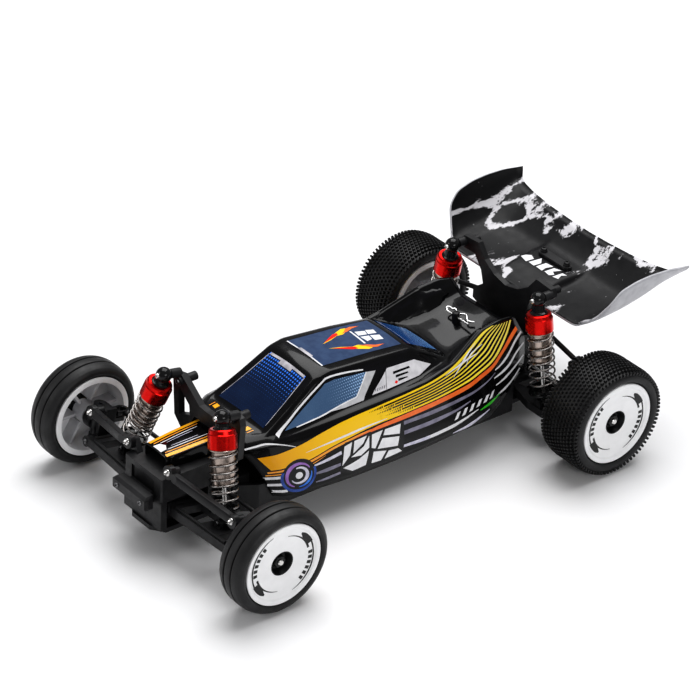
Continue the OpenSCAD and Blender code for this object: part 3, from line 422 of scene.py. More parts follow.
def smooth_curve(points, step=1.5):
    """Catmull-Rom curve through points, sampled about every step millimetres."""
    points = [Vector(p) for p in points]
    out = []
    for i in range(len(points) - 1):
        a, b, c, d = (points[max(0, min(len(points) - 1, k))] for k in (i - 1, i, i + 1, i + 2))
        count = max(1, round((c - b).length / step))
        for k in range(count):
            t = k / count
            out.append(0.5 * (2 * b + (c - a) * t + (2 * a - 5 * b + 4 * c - d) * t ** 2
                              + (3 * b - a - 3 * c + d) * t ** 3))
    return out + [points[-1]]


def along(curve, share):
    """Point at a share of a sampled curve's length."""
    lengths = [0.0]
    for a, b in zip(curve, curve[1:]):
        lengths.append(lengths[-1] + (b - a).length)
    goal = share * lengths[-1]
    for i in range(1, len(curve)):
        if lengths[i] >= goal:
            part = (goal - lengths[i - 1]) / max(lengths[i] - lengths[i - 1], 1e-9)
            return curve[i - 1].lerp(curve[i], part)
    return curve[-1]


# ---------------------------------------------------------------- body shell

NOSE_ROWS = [
    [(12.2, -191, 61.4), (12.4, -191, 66), (12.2, -191, 69.6), (10.5, -191, 70.6), (0, -191, 71)],
    [(13.6, -168, 61.4), (14, -168, 66.5), (13.7, -168, 70.9), (12, -168, 71.9), (0, -168, 72.3)],
    [(14.6, -138, 61.4), (15, -138, 67), (14.6, -138, 71.7), (13, -138, 72.8), (0, -138, 73.4)],
]
BODY_ROWS = [
    [(38, -119, 27), (36.2, -126, 42), (33.5, -134, 56), (30.5, -142, 67), (26, -142, 70.6),
     (20, -142, 72.1), (14.5, -142, 72.8), (0, -142, 73.3)],
    [(44.5, -113, 27.5), (44, -115, 42), (42, -118, 57), (39, -122, 69.8), (35.5, -119, 73),
     (31, -122, 74.2), (28.2, -121, 74), (0, -123, 74.8)],
    [(49, -97, 27.5), (48.8, -97, 42.5), (46.3, -97, 58.5), (42.5, -99, 71), (37, -97, 74.6),
     (29.8, -98, 87), (25.5, -98, 87.4), (0, -99, 88.7)],
    [(51, -78, 27.5), (51, -78, 43), (48.5, -77, 60), (45, -76, 73.2), (38, -76, 76.4),
     (27.5, -74, 101.4), (21.8, -75.5, 101.8), (0, -76.5, 103)],
    [(52.5, -60, 27.6), (52.5, -60, 43), (49.7, -60, 60.4), (45.8, -60, 74.4), (38, -60, 77),
     (28, -63, 102.9), (22, -66, 104), (0, -66, 105)],
    [(53.5, -20, 27.8), (53.5, -20, 43.2), (50.3, -20, 59.8), (46, -20, 75.4), (38, -20, 77.4),
     (27.7, -22, 98.6), (21.6, -22, 100.2), (0, -22, 101.2)],
    [(53, 8, 28), (53, 8, 44), (50, 8, 60.4), (45.2, 10, 77.4), (37, 10, 77.2),
     (26.5, 14, 93.6), (21, 10, 96.4), (0, 10, 97.4)],
    [(51.5, 44, 28.6), (51.8, 44, 46), (48.6, 42, 64), (43, 38, 84.4), (34.5, 38, 77.5),
     (25, 44, 77.2), (20.5, 45, 77.2), (0, 46, 77.6)],
    [(50, 68, 29.6), (50, 68, 50), (46.6, 68, 76), (36.5, 66, 97.8), (29.5, 66, 91),
     (24, 68, 82), (18, 68, 81.4), (0, 69, 82)],
    [(45.6, 80, 31.4), (45.8, 81, 54), (43.6, 82, 80), (35.5, 84, 99.8), (29, 84, 94),
     (23.5, 84, 86), (17, 84, 85.6), (0, 84, 86.4)],
    [(40.5, 106, 54), (40.8, 106.5, 64), (39.6, 106, 80), (34.5, 98, 97.2), (28.5, 98, 93),
     (23, 99, 88), (16, 99, 87.8), (0, 99, 88.4)],
]


def surface(half_rows, radius=3.2):
    """Full rings through mirrored half sections, softened both round and along the car."""
    rows = []
    for half in half_rows:
        half = [Vector(p) for p in half]
        ring = half + [Vector((-p.x, p.y, p.z)) for p in half[-2::-1]]
        rows.append(soften(ring, radius, middle=2, wide=len(half) - 1))
    columns = [soften(list(column), radius, middle=2) for column in zip(*rows)]
    return [list(row) for row in zip(*columns)]


def turned_out(shape):
    """Flip faces that look towards the inside of the body."""
    centre = Vector((0, -20, 45))
    for k, face in enumerate(shape.faces):
        a, b, c = (shape.points[i] for i in face[:3])
        if (b - a).cross(c - a).dot((a + b + c) / 3 - centre) < 0:
            shape.faces[k] = face[::-1]
    return shape


def between(upper, lower, high, low, start, end, step=0.02):
    """Outline of the part of a band between two shares of its width and two of its length."""
    shares = [start + (end - start) * k / max(1, round((end - start) / step))
              for k in range(max(1, round((end - start) / step)) + 1)]
    top = [along(lower, s).lerp(along(upper, s), high) for s in shares]
    bottom = [along(lower, s).lerp(along(upper, s), low) for s in shares]
    return top + bottom[::-1]


def body_shell():
    shape = turned_out(Shape().grid(surface(BODY_ROWS)).grid(surface(NOSE_ROWS, 2.0)))
    piece("moulded_body", shape, [BODY], "root", ["body_shell"], "body_paint", angle=50,
          closed=False, thick=1.1)
    return BVHTree.FromPolygons(shape.points, shape.faces)


SHELL = body_shell()


BESIDE, ABOVE = 95, 140                 # where the stickers are dropped from
SHELL_FLOOR = 30
TRAY_HALF_WIDTH, CAB_FOOT = 30, 77      # below the cab's foot only the outer flanks take stickers


class Livery:
    """Stickers cut from flat outlines and laid on the body shell."""

    def __init__(self):
        self.shapes = {}

    def lay(self, finish, outline, view="side", lift=0.12, sides=(1, -1), pitch=2.0):
        """Fill an outline, (y, z) from the side or (x, y) from above, and drop it onto the shell."""
        outline = [Vector(p) for p in outline]
        edge = []
        for a, b in zip(outline, outline[1:] + outline[:1]):
            count = max(1, math.ceil((b - a).length / pitch))
            edge += [a.lerp(b, k / count) for k in range(count)]
        points = list(edge)
        low = [min(p[i] for p in edge) for i in (0, 1)]
        high = [max(p[i] for p in edge) for i in (0, 1)]
        for i in range(int((high[0] - low[0]) / pitch) + 1):
            for j in range(int((high[1] - low[1]) / pitch) + 1):
                spot = Vector((low[0] + (i + 0.5 * (j % 2)) * pitch, low[1] + j * pitch))
                if within(spot, edge) and min((spot - e).length for e in edge) > 0.4 * pitch:
                    points.append(spot)
        ring = list(range(len(edge)))
        flat, _, triangles, *_ = delaunay_2d_cdt(points, [], [ring], 1, 1e-4)
        placed = [self.drop(p, view, lift) for p in flat]
        faces = [face for face in triangles if all(placed[i] is not None for i in face)]
        used = sorted({i for face in faces for i in face})
        number = {old: new for new, old in enumerate(used)}
        shape = Shape().add([placed[i] for i in used], [tuple(number[i] for i in f) for f in faces])
        shape = turned_out(shape)
        for sign in sides:
            one = shape if sign > 0 else shape.mirrored()
            self.shapes.setdefault(finish, Shape()).add(one.points, one.faces)

    def drop(self, p, view, lift):
        """The spot of the shell that a point of an outline lands on, or None past its edge."""
        if view == "side":
            start, way, limit = Vector((BESIDE, *p)), Vector((-1, 0, 0)), BESIDE
        else:
            start, way, limit = Vector((*p, ABOVE)), Vector((0, 0, -1)), ABOVE - SHELL_FLOOR
        spot, normal, *_ = SHELL.ray_cast(start, way, limit)
        if spot is None or abs(normal.dot(way)) < 0.05:
            return None
        if view == "side" and spot.x < TRAY_HALF_WIDTH and p[1] < CAB_FOOT:
            return None
        return spot + (normal if normal.dot(way) < 0 else -normal) * lift

    def ribbon(self, finish, points, widths, view="side", lift=0.12, sides=(1, -1), pitch=2.0):
        """A curved stripe; widths are spread evenly along it."""
        curve = smooth_curve(points)
        left, right = [], []
        for i, p in enumerate(curve):
            ahead = curve[min(i + 1, len(curve) - 1)] - curve[max(i - 1, 0)]
            across = Vector((-ahead[1], ahead[0])).normalized()
            place = i / max(len(curve) - 1, 1) * (len(widths) - 1)
            k = min(int(place), len(widths) - 2)
            half = (widths[k] + (widths[k + 1] - widths[k]) * (place - k)) / 2
            left.append(p + across * half)
            right.append(p - across * half)
        self.lay(finish, left + right[::-1], view, lift, sides, pitch)

    def apply(self):
        for finish, shape in self.shapes.items():
            piece("livery_" + finish.material.name.split("_", 1)[1], shape, [finish], "root",
                  slot="body_paint", closed=False)


def within(spot, ring):
    """Even-odd test."""
    inside = False
    for a, b in zip(ring, ring[1:] + ring[:1]):
        if (a[1] > spot[1]) != (b[1] > spot[1]):
            if spot[0] < a[0] + (spot[1] - a[1]) * (b[0] - a[0]) / (b[1] - a[1]):
                inside = not inside
    return inside


def yellow_sweep(art):
    """The yellow field of the side, which breaks into stripes towards the tail."""
    front = smooth_curve([(-131, 60.6), (-112, 62.8), (-98, 65.4), (-78, 70.2), (-59, 72.8), (-33, 73.8)])
    base = smooth_curve([(-122, 49.6), (-95, 52.6), (-75, 57.6), (-52, 60.8), (-33, 61.9)])
    art.lay(YELLOW, front + base[::-1])
    upper = smooth_curve([(-33.5, 73.8), (-5, 74.9), (14, 76.3), (31, 79.8), (44, 84.6), (54, 89.4),
                          (66, 95.0), (76, 96.8)])
    lower = smooth_curve([(-33.5, 61.9), (-9, 62), (20, 63), (45, 65.6), (58, 69.2), (72, 74.6),
                          (80, 80), (90, 88.5), (95, 95)])
    stripes, gap, teeth = 7, 0.085, 9
    for k in range(stripes):
        art.lay(YELLOW, between(upper, lower, (k + 1) / stripes, k / stripes, 0.0, 1.0))
    # dark gaps between the stripes, each with a toothed start
    for k in range(1, stripes):
        start = 0.20 - 0.028 * k + 0.05 * (k % 2)
        share = k / stripes
        art.lay(INK, between(upper, lower, share + gap / 2, share - gap / 2, start, 1.0), lift=0.2)
        for t in range(teeth):
            s = start - 0.012 * (t + 1)
            a = along(lower, s).lerp(along(upper, s), share)
            size = 0.75 * (1 - t / (teeth + 3))
            art.lay(INK, [a + Vector((-size, -size)), a + Vector((size * 0.4, -size)),
                          a + Vector((size, size)), a + Vector((-size * 0.4, size))], lift=0.2)


def splinters(art):
    """White splinters across the stripes."""
    art.ribbon(WHITE, [(27, 76.6), (43, 80.6), (60, 83.6)], [0.2, 1.5, 0.2], lift=0.26)
    art.ribbon(WHITE, [(34, 73), (47, 83.4), (58, 90.4)], [0.2, 1.6, 0.2], lift=0.28)
    art.ribbon(WHITE, [(46, 76.8), (52, 84), (64, 88)], [0.2, 1.0, 0.2], lift=0.30)


def warm_lines(art):
    """Orange and amber lines along the yellow, and a white line on the shoulder crease that is a painted
    highlight.
    """
    art.ribbon(AMBER, [(-124, 47.6), (-95, 50.9), (-75, 55.9), (-55, 58.6), (-40, 59.2)], [1.4, 1.8, 1.6])
    art.ribbon(AMBER, [(-125, 45.2), (-96, 48.2), (-82, 52.2)], [0.9, 1.0, 0.3])
    art.ribbon(ORANGE, [(-62, 57), (-40, 59), (-9, 59.6), (20, 60.4), (45, 62.4), (58, 66), (72, 70.8),
                        (80, 76), (90, 83), (99, 88)], [0.4, 2.6, 3.4, 3.4, 3.4, 3.4, 3.2])
    # painted highlight: the white line along the shoulder crease in the yellow field
    art.ribbon(WHITE, [(-97, 58.6), (-78, 60.8), (-56, 62.6), (-28, 63.2)], [0.2, 1.3, 1.5, 0.2], lift=0.2)


def soft_streaks(art):
    """Streaks along the lower side."""
    art.ribbon(LILAC, [(-17, 55.2), (19, 54.6), (48, 56.2), (62, 59.4), (73, 64)], [2.6, 3.0, 2.2, 0.8])
    art.ribbon(LILAC, [(-17, 48), (10, 47.4), (33, 48.4), (48, 51)], [2.8, 3.2, 0.8])
    art.ribbon(LILAC, [(-92, 40.6), (-82, 40.9), (-70, 41.9)], [1.2, 3.0, 2.4])
    art.ribbon(LILAC, [(-90, 33.6), (-82, 33.8), (-70, 35)], [0.8, 2.2, 2.0])
    art.ribbon(PALE, [(-94, 46.8), (-84, 48), (-69, 50.6)], [0.8, 2.2, 2.6])
    art.ribbon(PALE, [(-16, 37.6), (0, 36.4), (18, 35.8)], [2.0, 2.8, 2.8])
    art.ribbon(WHITE, [(10, 36), (34, 36.8), (56, 41.2)], [2.8, 3.0, 0.8], lift=0.16)
    art.ribbon(PALE, [(32, 30.2), (50, 31.4), (68, 36.6)], [0.6, 2.8, 0.8])


def front_stripes(art):
    """White stripes at the body's front edge, and a thin white line along the kink behind the nose that is a
    painted highlight.
    """
    for low, tip in ((43.0, -112), (37.0, -113), (31.2, -111)):
        art.ribbon(WHITE, [(-132, low - 1), (-120, low), (tip, low + 0.7)], [2.2, 2.3, 2.2])
    # painted highlight: the thin white line along the kink from the nose flare to the cab's front corner
    art.ribbon(WHITE, [(-141, 67.6), (-132, 69.2), (-123, 70.3), (-114, 68.2), (-104, 64.4)],
               [0.9, 0.9, 0.9, 0.8, 0.4])


def tail_stripes(art):
    """White stripes that climb the tail."""
    for rise, line in enumerate((
            [(73, 66), (80, 67.5), (87, 71.5), (95, 79.4), (103, 84)],
            [(72, 60), (81, 60.6), (89, 63.4), (97, 70.2), (105, 75)],
            [(74, 53.4), (82, 53.8), (90, 56.4), (99, 61), (105, 65)],
            [(76, 43.4), (86, 45), (94, 48.6), (102, 55)])):
        art.ribbon(WHITE, line, [0.9, 2.6, 2.4 - 0.2 * rise, 1.8])


def side_blocks(art):
    """Slanted blocks low on the side."""
    for k, y in enumerate((34, 41, 48, 55, 62, 68)):
        z = 43.4 + 0.9 * k
        art.lay(WHITE, [(y - 1.6, z - 2.6), (y + 1.8, z - 2.2), (y + 4.2, z + 3.2), (y + 1.2, z + 2.8)],
                lift=0.18)
    art.ribbon(GREEN, [(58, 39.6), (68, 41.6), (80, 43.4)], [0.8, 3.0, 0.8], lift=0.22)


def shard_art(art):
    """Abstract splinters in the middle of the side, white on black."""
    art.lay(INK, [(-71, 36), (-66, 57), (-44, 58.4), (-40, 56), (-14, 57), (-15, 33), (-36, 31), (-60, 31)],
            lift=0.16)
    shards = [
        [(-69, 40), (-66.5, 54.4), (-60, 55.8), (-62.4, 46.6)],
        [(-59.6, 47), (-58, 56), (-47, 56.6), (-50.6, 51.8)],
        [(-61.6, 44.6), (-50, 49.6), (-45, 55.8), (-45.6, 47), (-53, 43.4)],
        [(-68, 38), (-55, 41), (-46, 44.8), (-48.4, 34), (-60, 33.2)],
        [(-42.6, 55.8), (-33, 56.2), (-40.4, 44.6), (-43.6, 46)],
        [(-31, 56), (-17, 55.8), (-18.6, 48.8), (-32.8, 52)],
        [(-38.6, 43.6), (-33.8, 50.2), (-19, 47), (-20.6, 40)],
        [(-42, 42.6), (-30.6, 39.6), (-35, 33), (-43.4, 33.6)],
        [(-28.6, 38.8), (-20, 37.8), (-16.4, 34.2), (-24.6, 33.6), (-32, 33.2)],
    ]
    for shard in shards:
        art.lay(WHITE, shard, lift=0.24)


def ring_art(art):
    """Abstract badge of rings beside the front wheel."""
    centre = Vector((-103, 42.6))

    def arc(radius, start, end, count=30):
        return [centre + radius * Vector((math.cos(math.radians(start + (end - start) * k / count)),
                                          math.sin(math.radians(start + (end - start) * k / count))))
                for k in range(count + 1)]

    art.lay(INK, arc(12.6, 0, 356), lift=0.18)
    art.ribbon(NAVY, arc(12.2, -200, 20), [1.8, 2.2, 1.8], lift=0.24)
    art.ribbon(VIOLET, arc(9.0, 30, 250), [0.8, 3.0, 0.8], lift=0.24)
    art.ribbon(PALE, arc(6.0, -150, 110), [0.6, 2.8, 1.0], lift=0.24)
    art.ribbon(AZURE, arc(9.2, -90, 10), [0.6, 2.2, 0.6], lift=0.24)
    art.lay(WHITE, arc(2.6, 0, 350, 16), lift=0.24)


def side_window(art):
    """Side window, its white outline, the grey strip and the pale panel behind it."""
    art.lay(GLASS_SIDE, [(-108, 74.6), (-70, 96.4), (-62, 97.2), (-48, 95.4), (-33.6, 93.6), (-46.4, 80.4),
                         (-60, 79.4), (-80, 76.8)], lift=0.14)
    art.ribbon(WHITE, [(-115, 73), (-104, 79), (-93, 86), (-80, 93.6), (-69, 99.4)], [2.0, 1.3, 1.3, 1.2])
    art.ribbon(WHITE, [(-69, 99.4), (-62, 99.8), (-48, 98), (-36, 95.8)], [1.2, 1.2, 0.8])
    art.lay(GREY, [(-72, 77.8), (-60, 79.4), (-46.4, 80.4), (-33.6, 93.6), (-25.6, 92.2),
                   (-41.5, 77.4), (-58, 77.2)], lift=0.18)
    art.ribbon(WHITE, [(-99, 75), (-80, 76.9), (-60, 79.5), (-46.4, 80.6)], [0.5, 0.9, 0.9], lift=0.22)
    art.ribbon(WHITE, [(-46.4, 80.6), (-40, 87), (-33.8, 93.6)], [0.9, 0.9], lift=0.22)
    art.lay(PANEL, [(-33.5, 78.2), (-15.5, 90.6), (10, 88.4), (24.5, 80.6), (10, 78.4)], lift=0.14)
    art.ribbon(SLATE, [(-20.5, 78), (-18.6, 84), (-17, 89.6)], [0.5, 0.5], lift=0.2)
    for k in range(5):
        y = -31 + 2.0 * k
        art.lay(SLATE, [(y, 78.6), (y + 0.7, 78.6), (y + 2.3, 81), (y + 1.6, 81)], lift=0.2)
    for k, width in enumerate((15, 11, 8)):
        y, z = -11 + 1.5 * k, 87 - 2.7 * k
        art.lay(INK, [(y, z), (y + width, z - 0.9), (y + width + 0.6, z - 2.2 + 0.3 * k), (y - 0.4, z - 1.6)],
                lift=0.2)
    art.lay(FLAME, [(-12, 80), (-10.4, 81.2), (-8.8, 80), (-10.4, 79)], lift=0.2)


def windshield(art):
    """Windshield with its header strip."""
    art.lay(GLASS_FRONT, [(-25.5, -119), (25.5, -119), (19.6, -78.6), (-19.6, -78.6)], "top", 0.14, (1,))
    art.ribbon(SILVER, [(-19, -79.4), (19, -79.4)], [1.6, 1.6], "top", 0.22, (1,))
    art.lay(SILVER, [(-7, -82.4), (7, -82.4), (6, -78.6), (-6, -78.6)], "top", 0.24, (1,))
    for sign in (1, -1):
        art.ribbon(SILVER, [(sign * 25.3, -117), (sign * 19.8, -80)], [0.3, 0.7], "top", 0.2, (1,))


def roof_panel(art):
    """Roof panel with its flames and splinters."""
    art.lay(ROOF, [(-20, -64.5), (20, -64.5), (19.4, 6.5), (-19.4, 6.5)], "top", 0.14, (1,))
    art.ribbon(WHITE, [(-20, -64.6), (20, -64.6)], [1.1, 1.1], "top", 0.22, (1,))
    art.lay(SILVER, [(-6.5, -62.4), (6.5, -62.4), (8, -65.2), (-8, -65.2)], "top", 0.24, (1,))
    art.lay(YELLOW, [(3.4, -46), (8, -36), (12.6, -28), (16.2, -20), (15.6, -16), (11, -19), (8.4, -24),
                     (8.8, -29), (5.6, -37)], "top", 0.22)
    art.lay(FLAME, [(4.4, -44), (9, -36), (12, -30.5), (12.4, -26.5), (9.6, -27.5), (7.6, -33)], "top", 0.28)
    art.lay(ORANGE, [(9.6, -24), (10.8, -17.6), (13.4, -12), (14.4, -5), (16, -12), (14.8, -17), (12, -20)],
            "top", 0.26)
    for shard in ([(-8, -14), (-2, -15), (-1, -8), (-6, -6)], [(0, -15), (7, -14), (6, -9), (1, -8)],
                  [(-7, -5), (-1, -7), (0, 0), (-5, 1)], [(1, -7), (8, -8), (9, -1), (3, 0)],
                  [(-10, -17), (9, -18.6), (9, -17), (-10, -15.6)]):
        art.lay(WHITE, shard, "top", 0.3, (1,))


def rear_window(art):
    """Rear window with its header line."""
    art.lay(GLASS_REAR, [(-18.8, 13), (18.8, 13), (17.5, 42), (-17.5, 42)], "top", 0.14, (1,))
    art.ribbon(SILVER, [(-18.6, 15.4), (18.6, 15.4)], [0.6, 0.6], "top", 0.2, (1,))


def nose_stripes(art):
    """Stripes on the nose and at the foot of the windshield."""
    art.ribbon(GOLD, [(9.6, -189.5), (10.8, -172), (11.6, -146)], [2.6, 2.8, 2.4], "top")
    art.ribbon(AMBER, [(6.6, -188), (7.6, -172), (8.4, -150)], [0.8, 0.9, 0.7], "top")
    art.ribbon(WHITE, [(4.4, -184), (5.2, -168), (5.8, -152)], [0.6, 0.7, 0.5], "top")
    art.ribbon(PALE, [(2.4, -180), (3.0, -168), (3.2, -158)], [0.3, 0.6, 0.4], "top")
    art.lay(WHITE, [(-4.6, -190), (4.6, -190), (4, -185), (0, -182.6), (-4, -185)], "top", 0.2, (1,))
    art.lay(GOLD, [(15.6, -129.5), (19.6, -129), (20, -124.6), (16, -125)], "top", 0.2)
    art.ribbon(AMBER, [(21.6, -130), (21.9, -124.6)], [0.8, 0.8], "top", 0.2)


def livery():
    art = Livery()
    for part in (yellow_sweep, splinters, warm_lines, soft_streaks, front_stripes, tail_stripes, side_blocks,
                 shard_art, ring_art, side_window, windshield, roof_panel, rear_window, nose_stripes):
        part(art)
    art.apply()


livery()


# ---------------------------------------------------------------- wing

WING_ROWS = [
    [(0, 126, 96.5), (22, 126, 96.5), (25.5, 126, 96.5), (45, 126, 96.5), (64, 126, 96.6),
     (68, 126.5, 96.7), (70, 127.5, 96.9), (71, 129, 97.2), (71.4, 131, 97.6)],
    [(0, 136, 97.6), (22, 136, 97.6), (25.5, 136, 96.4), (45, 136, 96.4), (66, 136, 97),
     (73, 136, 98.6), (76.5, 136, 101), (78.6, 136, 103.4), (79.6, 136, 105)],
    [(0, 142, 99.6), (22, 142, 99.6), (25.5, 142, 96.4), (45, 142, 96.4), (67, 142, 97.4),
     (76, 142, 100.8), (82.5, 141.5, 106.6), (86.4, 141, 113), (88, 141, 118.4)],
    [(0, 150, 101.8), (22, 150, 101.8), (25.5, 150, 96.6), (45, 150, 96.6), (67, 150, 97.8),
     (77, 150, 102), (84, 150, 109.4), (87.6, 149, 118.4), (89.2, 148.6, 127)],
    [(0, 163, 102.4), (22, 163, 102.4), (25.5, 163, 97.4), (45, 163, 97.6), (67, 163, 99),
     (77, 163, 103.4), (84.5, 163, 111.4), (88.2, 163, 121.4), (89.8, 162.6, 130.6)],
    [(0, 180, 102.8), (22, 180, 102.8), (25.5, 177, 100.4), (45, 177, 100.6), (66, 177, 102),
     (77.5, 177, 106.6), (85, 177, 114.4), (88.6, 177, 123), (90, 176.6, 131.6)],
    [(0, 190, 108.8), (22, 190, 108.8), (25.5, 190, 108.9), (45, 190, 109.2), (66, 190, 110.4),
     (78, 191, 113.6), (85.6, 192, 119), (89, 193, 125.4), (90.4, 194, 130.8)],
    [(0, 200.5, 117), (22, 200.8, 117.4), (25.5, 201, 117.5), (45, 201.7, 118.2),
     (66, 203.5, 119.6), (80, 206, 121), (86.2, 209.6, 122.6), (89.2, 212.6, 125),
     (90.6, 213.5, 127.6)],
]


def wing():
    rows = []
    for half in WING_ROWS:
        half = [Vector(p) for p in half]
        ring = [Vector((-p.x, p.y, p.z)) for p in half[:0:-1]] + half
        rows.append(soften(ring, 3.0, middle=1))
    columns = [soften(list(column), 4.0, middle=1) for column in zip(*rows)]
    shape = Shape().grid([list(row) for row in zip(*columns)])
    probe = shape.faces[len(shape.faces) // 2]
    a, b, c = (shape.points[i] for i in probe[:3])
    if (b - a).cross(c - a).z < 0:
        shape.faces = [face[::-1] for face in shape.faces]
    piece("rear_wing", shape, [WING_TOP, WING_UNDER], "root", ["wing"], "wing_sheet", angle=60,
          closed=False, thick=1.5)
    splash = Shape()
    for shard in ([(-21, 153), (-13, 151), (-12, 158), (-17, 160), (-20, 157)],
                  [(-11, 152), (-5, 151.5), (-4, 158), (-9, 163)],
                  [(-3, 152), (4, 151.6), (3, 156), (5, 162), (-2, 161)],
                  [(6, 152.4), (12, 151.4), (14, 155), (10, 157), (13, 163), (7, 161)],
                  [(15, 152), (20, 153.4), (18, 158), (20.4, 161.6), (16, 161)]):
        splash.add([(x, y, 101.95 + (y - 150) * 0.045) for x, y in shard], [tuple(range(len(shard)))])
    piece("wing_splash", splash, [WHITE], "root", slot="wing_sheet", closed=False)


wing()


# ---------------------------------------------------------------- wheels

def wheel_matrix(end):
    """Local Z runs outward along the left wheel's axle, from the car's middle."""
    y, z = (FRONT_Y, FRONT_R) if end == "front" else (REAR_Y, REAR_R)
    return Matrix.Translation((0, y, z)) @ Matrix.Rotation(math.radians(90), 4, "Y")


def rounded_profile(points, radius=0.6, steps=2):
    """Rounded (radius, height) outline."""
    return [(p[0], p[1]) for p in soften([Vector((*p, 0)) for p in points], radius, steps)]


def rim(end):
    face, lip, inner, back = FACE[end], LIP_R[end], RIM_BACK[end], HUB_BACK[end]
    bead, wall = lip - 2.6, 1.6
    place = wheel_matrix(end)
    outline = [(bead - wall, inner), (lip, inner), (lip, inner + 1.6), (bead, inner + 2.2), (bead, face - 3),
               (lip, face - 2), (lip, face - 0.4), (lip - 0.8, face), (bead - 0.4, face - 0.4),
               (bead - 1.5, face - 1.7), (RECESS_R, face - RECESS_DEPTH), (RECESS_R, face - 4.4),
               (10.4, face - 5), (bead - wall, face - 4.4), (bead - wall, inner)]
    shape = Shape().turned(rounded_profile(outline, 0.5), place, 128)
    # hub boss, behind the face, in the grey painted shade copy of the rim plastic
    shape.turned([(BORE + 0.1, back), (6.5, back), (7.4, face - 10.5), (7.4, face - 9.3),
                  (BORE + 0.1, face - 9.3)], place, 64, 1, closed=True)
    # spokes behind the face, also in the grey painted shade
    for k in range(6):
        turn = place @ Matrix.Rotation(math.radians(60 * k + 30), 4, "Z")
        corners = [(x, y, z) for x in (8.8, bead - 1.2) for y in (-1.1, 1.1) for z in (face - 15, face - 4.3)]
        shape.box(corners, turn, 1)
    both_sides("{}_" + end + "_wheel_rim", shape, [RIM_WHITE, RIM_PAINTED_SHADE], "{}_" + end + "_wheel",
               ["{}_" + end + "_rim"], "rim_white", angle=30)


def hub(end):
    """Conical recess painted near black as painted shade, hexagonal nut and axle end."""
    face = FACE[end]
    place = wheel_matrix(end)
    shape = Shape()
    # the recess cone and its floor take the near black painted shade
    shape.turned([(9.0, face - 2.45), (8.4, face - 2.8), (6.3, face - 7.6), (4.4, face - 8.1),
                  (0, face - 8.1), (0, face - 8.9), (7.0, face - 8.7), (9.0, face - 3.4)], place, 64,
                 closed=True)
    nut = place @ Matrix.Translation((0, 0, face - 8.2))
    shape.turned([(4.9, 0), (4.9, 2.9), (4.2, 3.6), (2.6, 3.6), (2.6, 0)], nut, 48, 1, closed=True, flats=6)
    shape.turned([(2.3, 0), (2.3, 4.4), (1.7, 5.0), (0, 5.0), (0, 0)], nut, 32, 2)
    if end == "rear":
        for r, x0, x1 in ((2.5, 83, 92), (3.0, 92, 110)):
            shape.turned([(0, x0), (r, x0), (r, x1), (0, x1)], place, 32, 2)
        shape.turned([(0, 72.5), (3.8, 72.5), (3.8, 81), (5.2, 83.5), (5.2, 72.5)], place, 48, 2)
    both_sides("{}_" + end + "_wheel_hub", shape, [HUB_PAINTED_SHADE, PLASTIC_DARK, STEEL], "{}_" + end + "_wheel",
               slot="rim_white", angle=30)


def rim_marks(end):
    """Two swooshes of printed arcs and a run of slanted ticks, opposite each other."""
    face, lip = FACE[end], LIP_R[end]
    outer_r, outer_x = lip - 4.1, face - 1.7
    inner_r, inner_x = RECESS_R, face - RECESS_DEPTH
    place = wheel_matrix(end)
    shape = Shape()

    def spot(r, angle):
        x = inner_x + (outer_x - inner_x) * (r - inner_r) / (outer_r - inner_r) + 0.12
        return place @ Vector((r * math.cos(angle), r * math.sin(angle), x))

    def arc(start, end_angle, low, high, count=26):
        """low and high give a radius for a share of the arc."""
        rows = []
        for k in range(count + 1):
            share = k / count
            angle = math.radians(start + (end_angle - start) * share)
            rows.append([spot(low(share), angle), spot(high(share), angle)])
        shape.grid(rows)

    for turn in (20, 200):
        arc(turn, turn + 92, lambda t: 25.6 - 0.9 * t,
            lambda t: 25.9 + 0.6 * math.sin(math.pi * min(1, t * 1.2)))
        arc(turn + 92, turn + 114, lambda t: 21.4 + 0.6 * t, lambda t: 26.4 - 0.5 * t)
        arc(turn + 114, turn + 122, lambda t: 22.0 + 1.8 * t, lambda t: 25.9 - 1.0 * t)
        arc(turn + 84, turn + 150, lambda t: 20.9 - 0.1 * t, lambda t: 22.6 - 1.5 * t)
        for k in range(6):
            start = turn + 20 + 10 * k
            arc(start, start + 6, lambda t: 21.4, lambda t: 24.6, 4)
    both_sides("{}_" + end + "_wheel_print", shape, [RIM_INK], "{}_" + end + "_wheel", slot="rim_white",
               closed=False)


def front_tyre():
    x0, x1 = TYRE_SPAN["front"]
    mid = (x0 + x1) / 2
    top, bead = FRONT_R, LIP_R["front"] - 2.5
    groove, depth, half = 3.7, 1.7, 0.65
    side = [(bead, 4.6), (30.9, 4.0), (31.6, 0.9), (33.4, 0.0), (35.4, 0.3), (37.2, 1.7), (38.5, 4.2),
            (39.05, 6.6)]
    outline = [(r, x0 + d) for r, d in side]
    for centre in (mid - groove, mid + groove):
        outline += [(top, centre - half), (top - depth, centre - half * 0.7),
                    (top - depth, centre + half * 0.7), (top, centre + half)]
    outline += [(r, x1 - d) for r, d in side[::-1]]
    shape = Shape().turned(rounded_profile(outline, 0.5), wheel_matrix("front"), 160, closed=True)
    both_sides("{}_front_wheel_tyre", shape, [RUBBER], "{}_front_wheel", ["{}_front_tyre"], "tyre_rubber",
               angle=60)


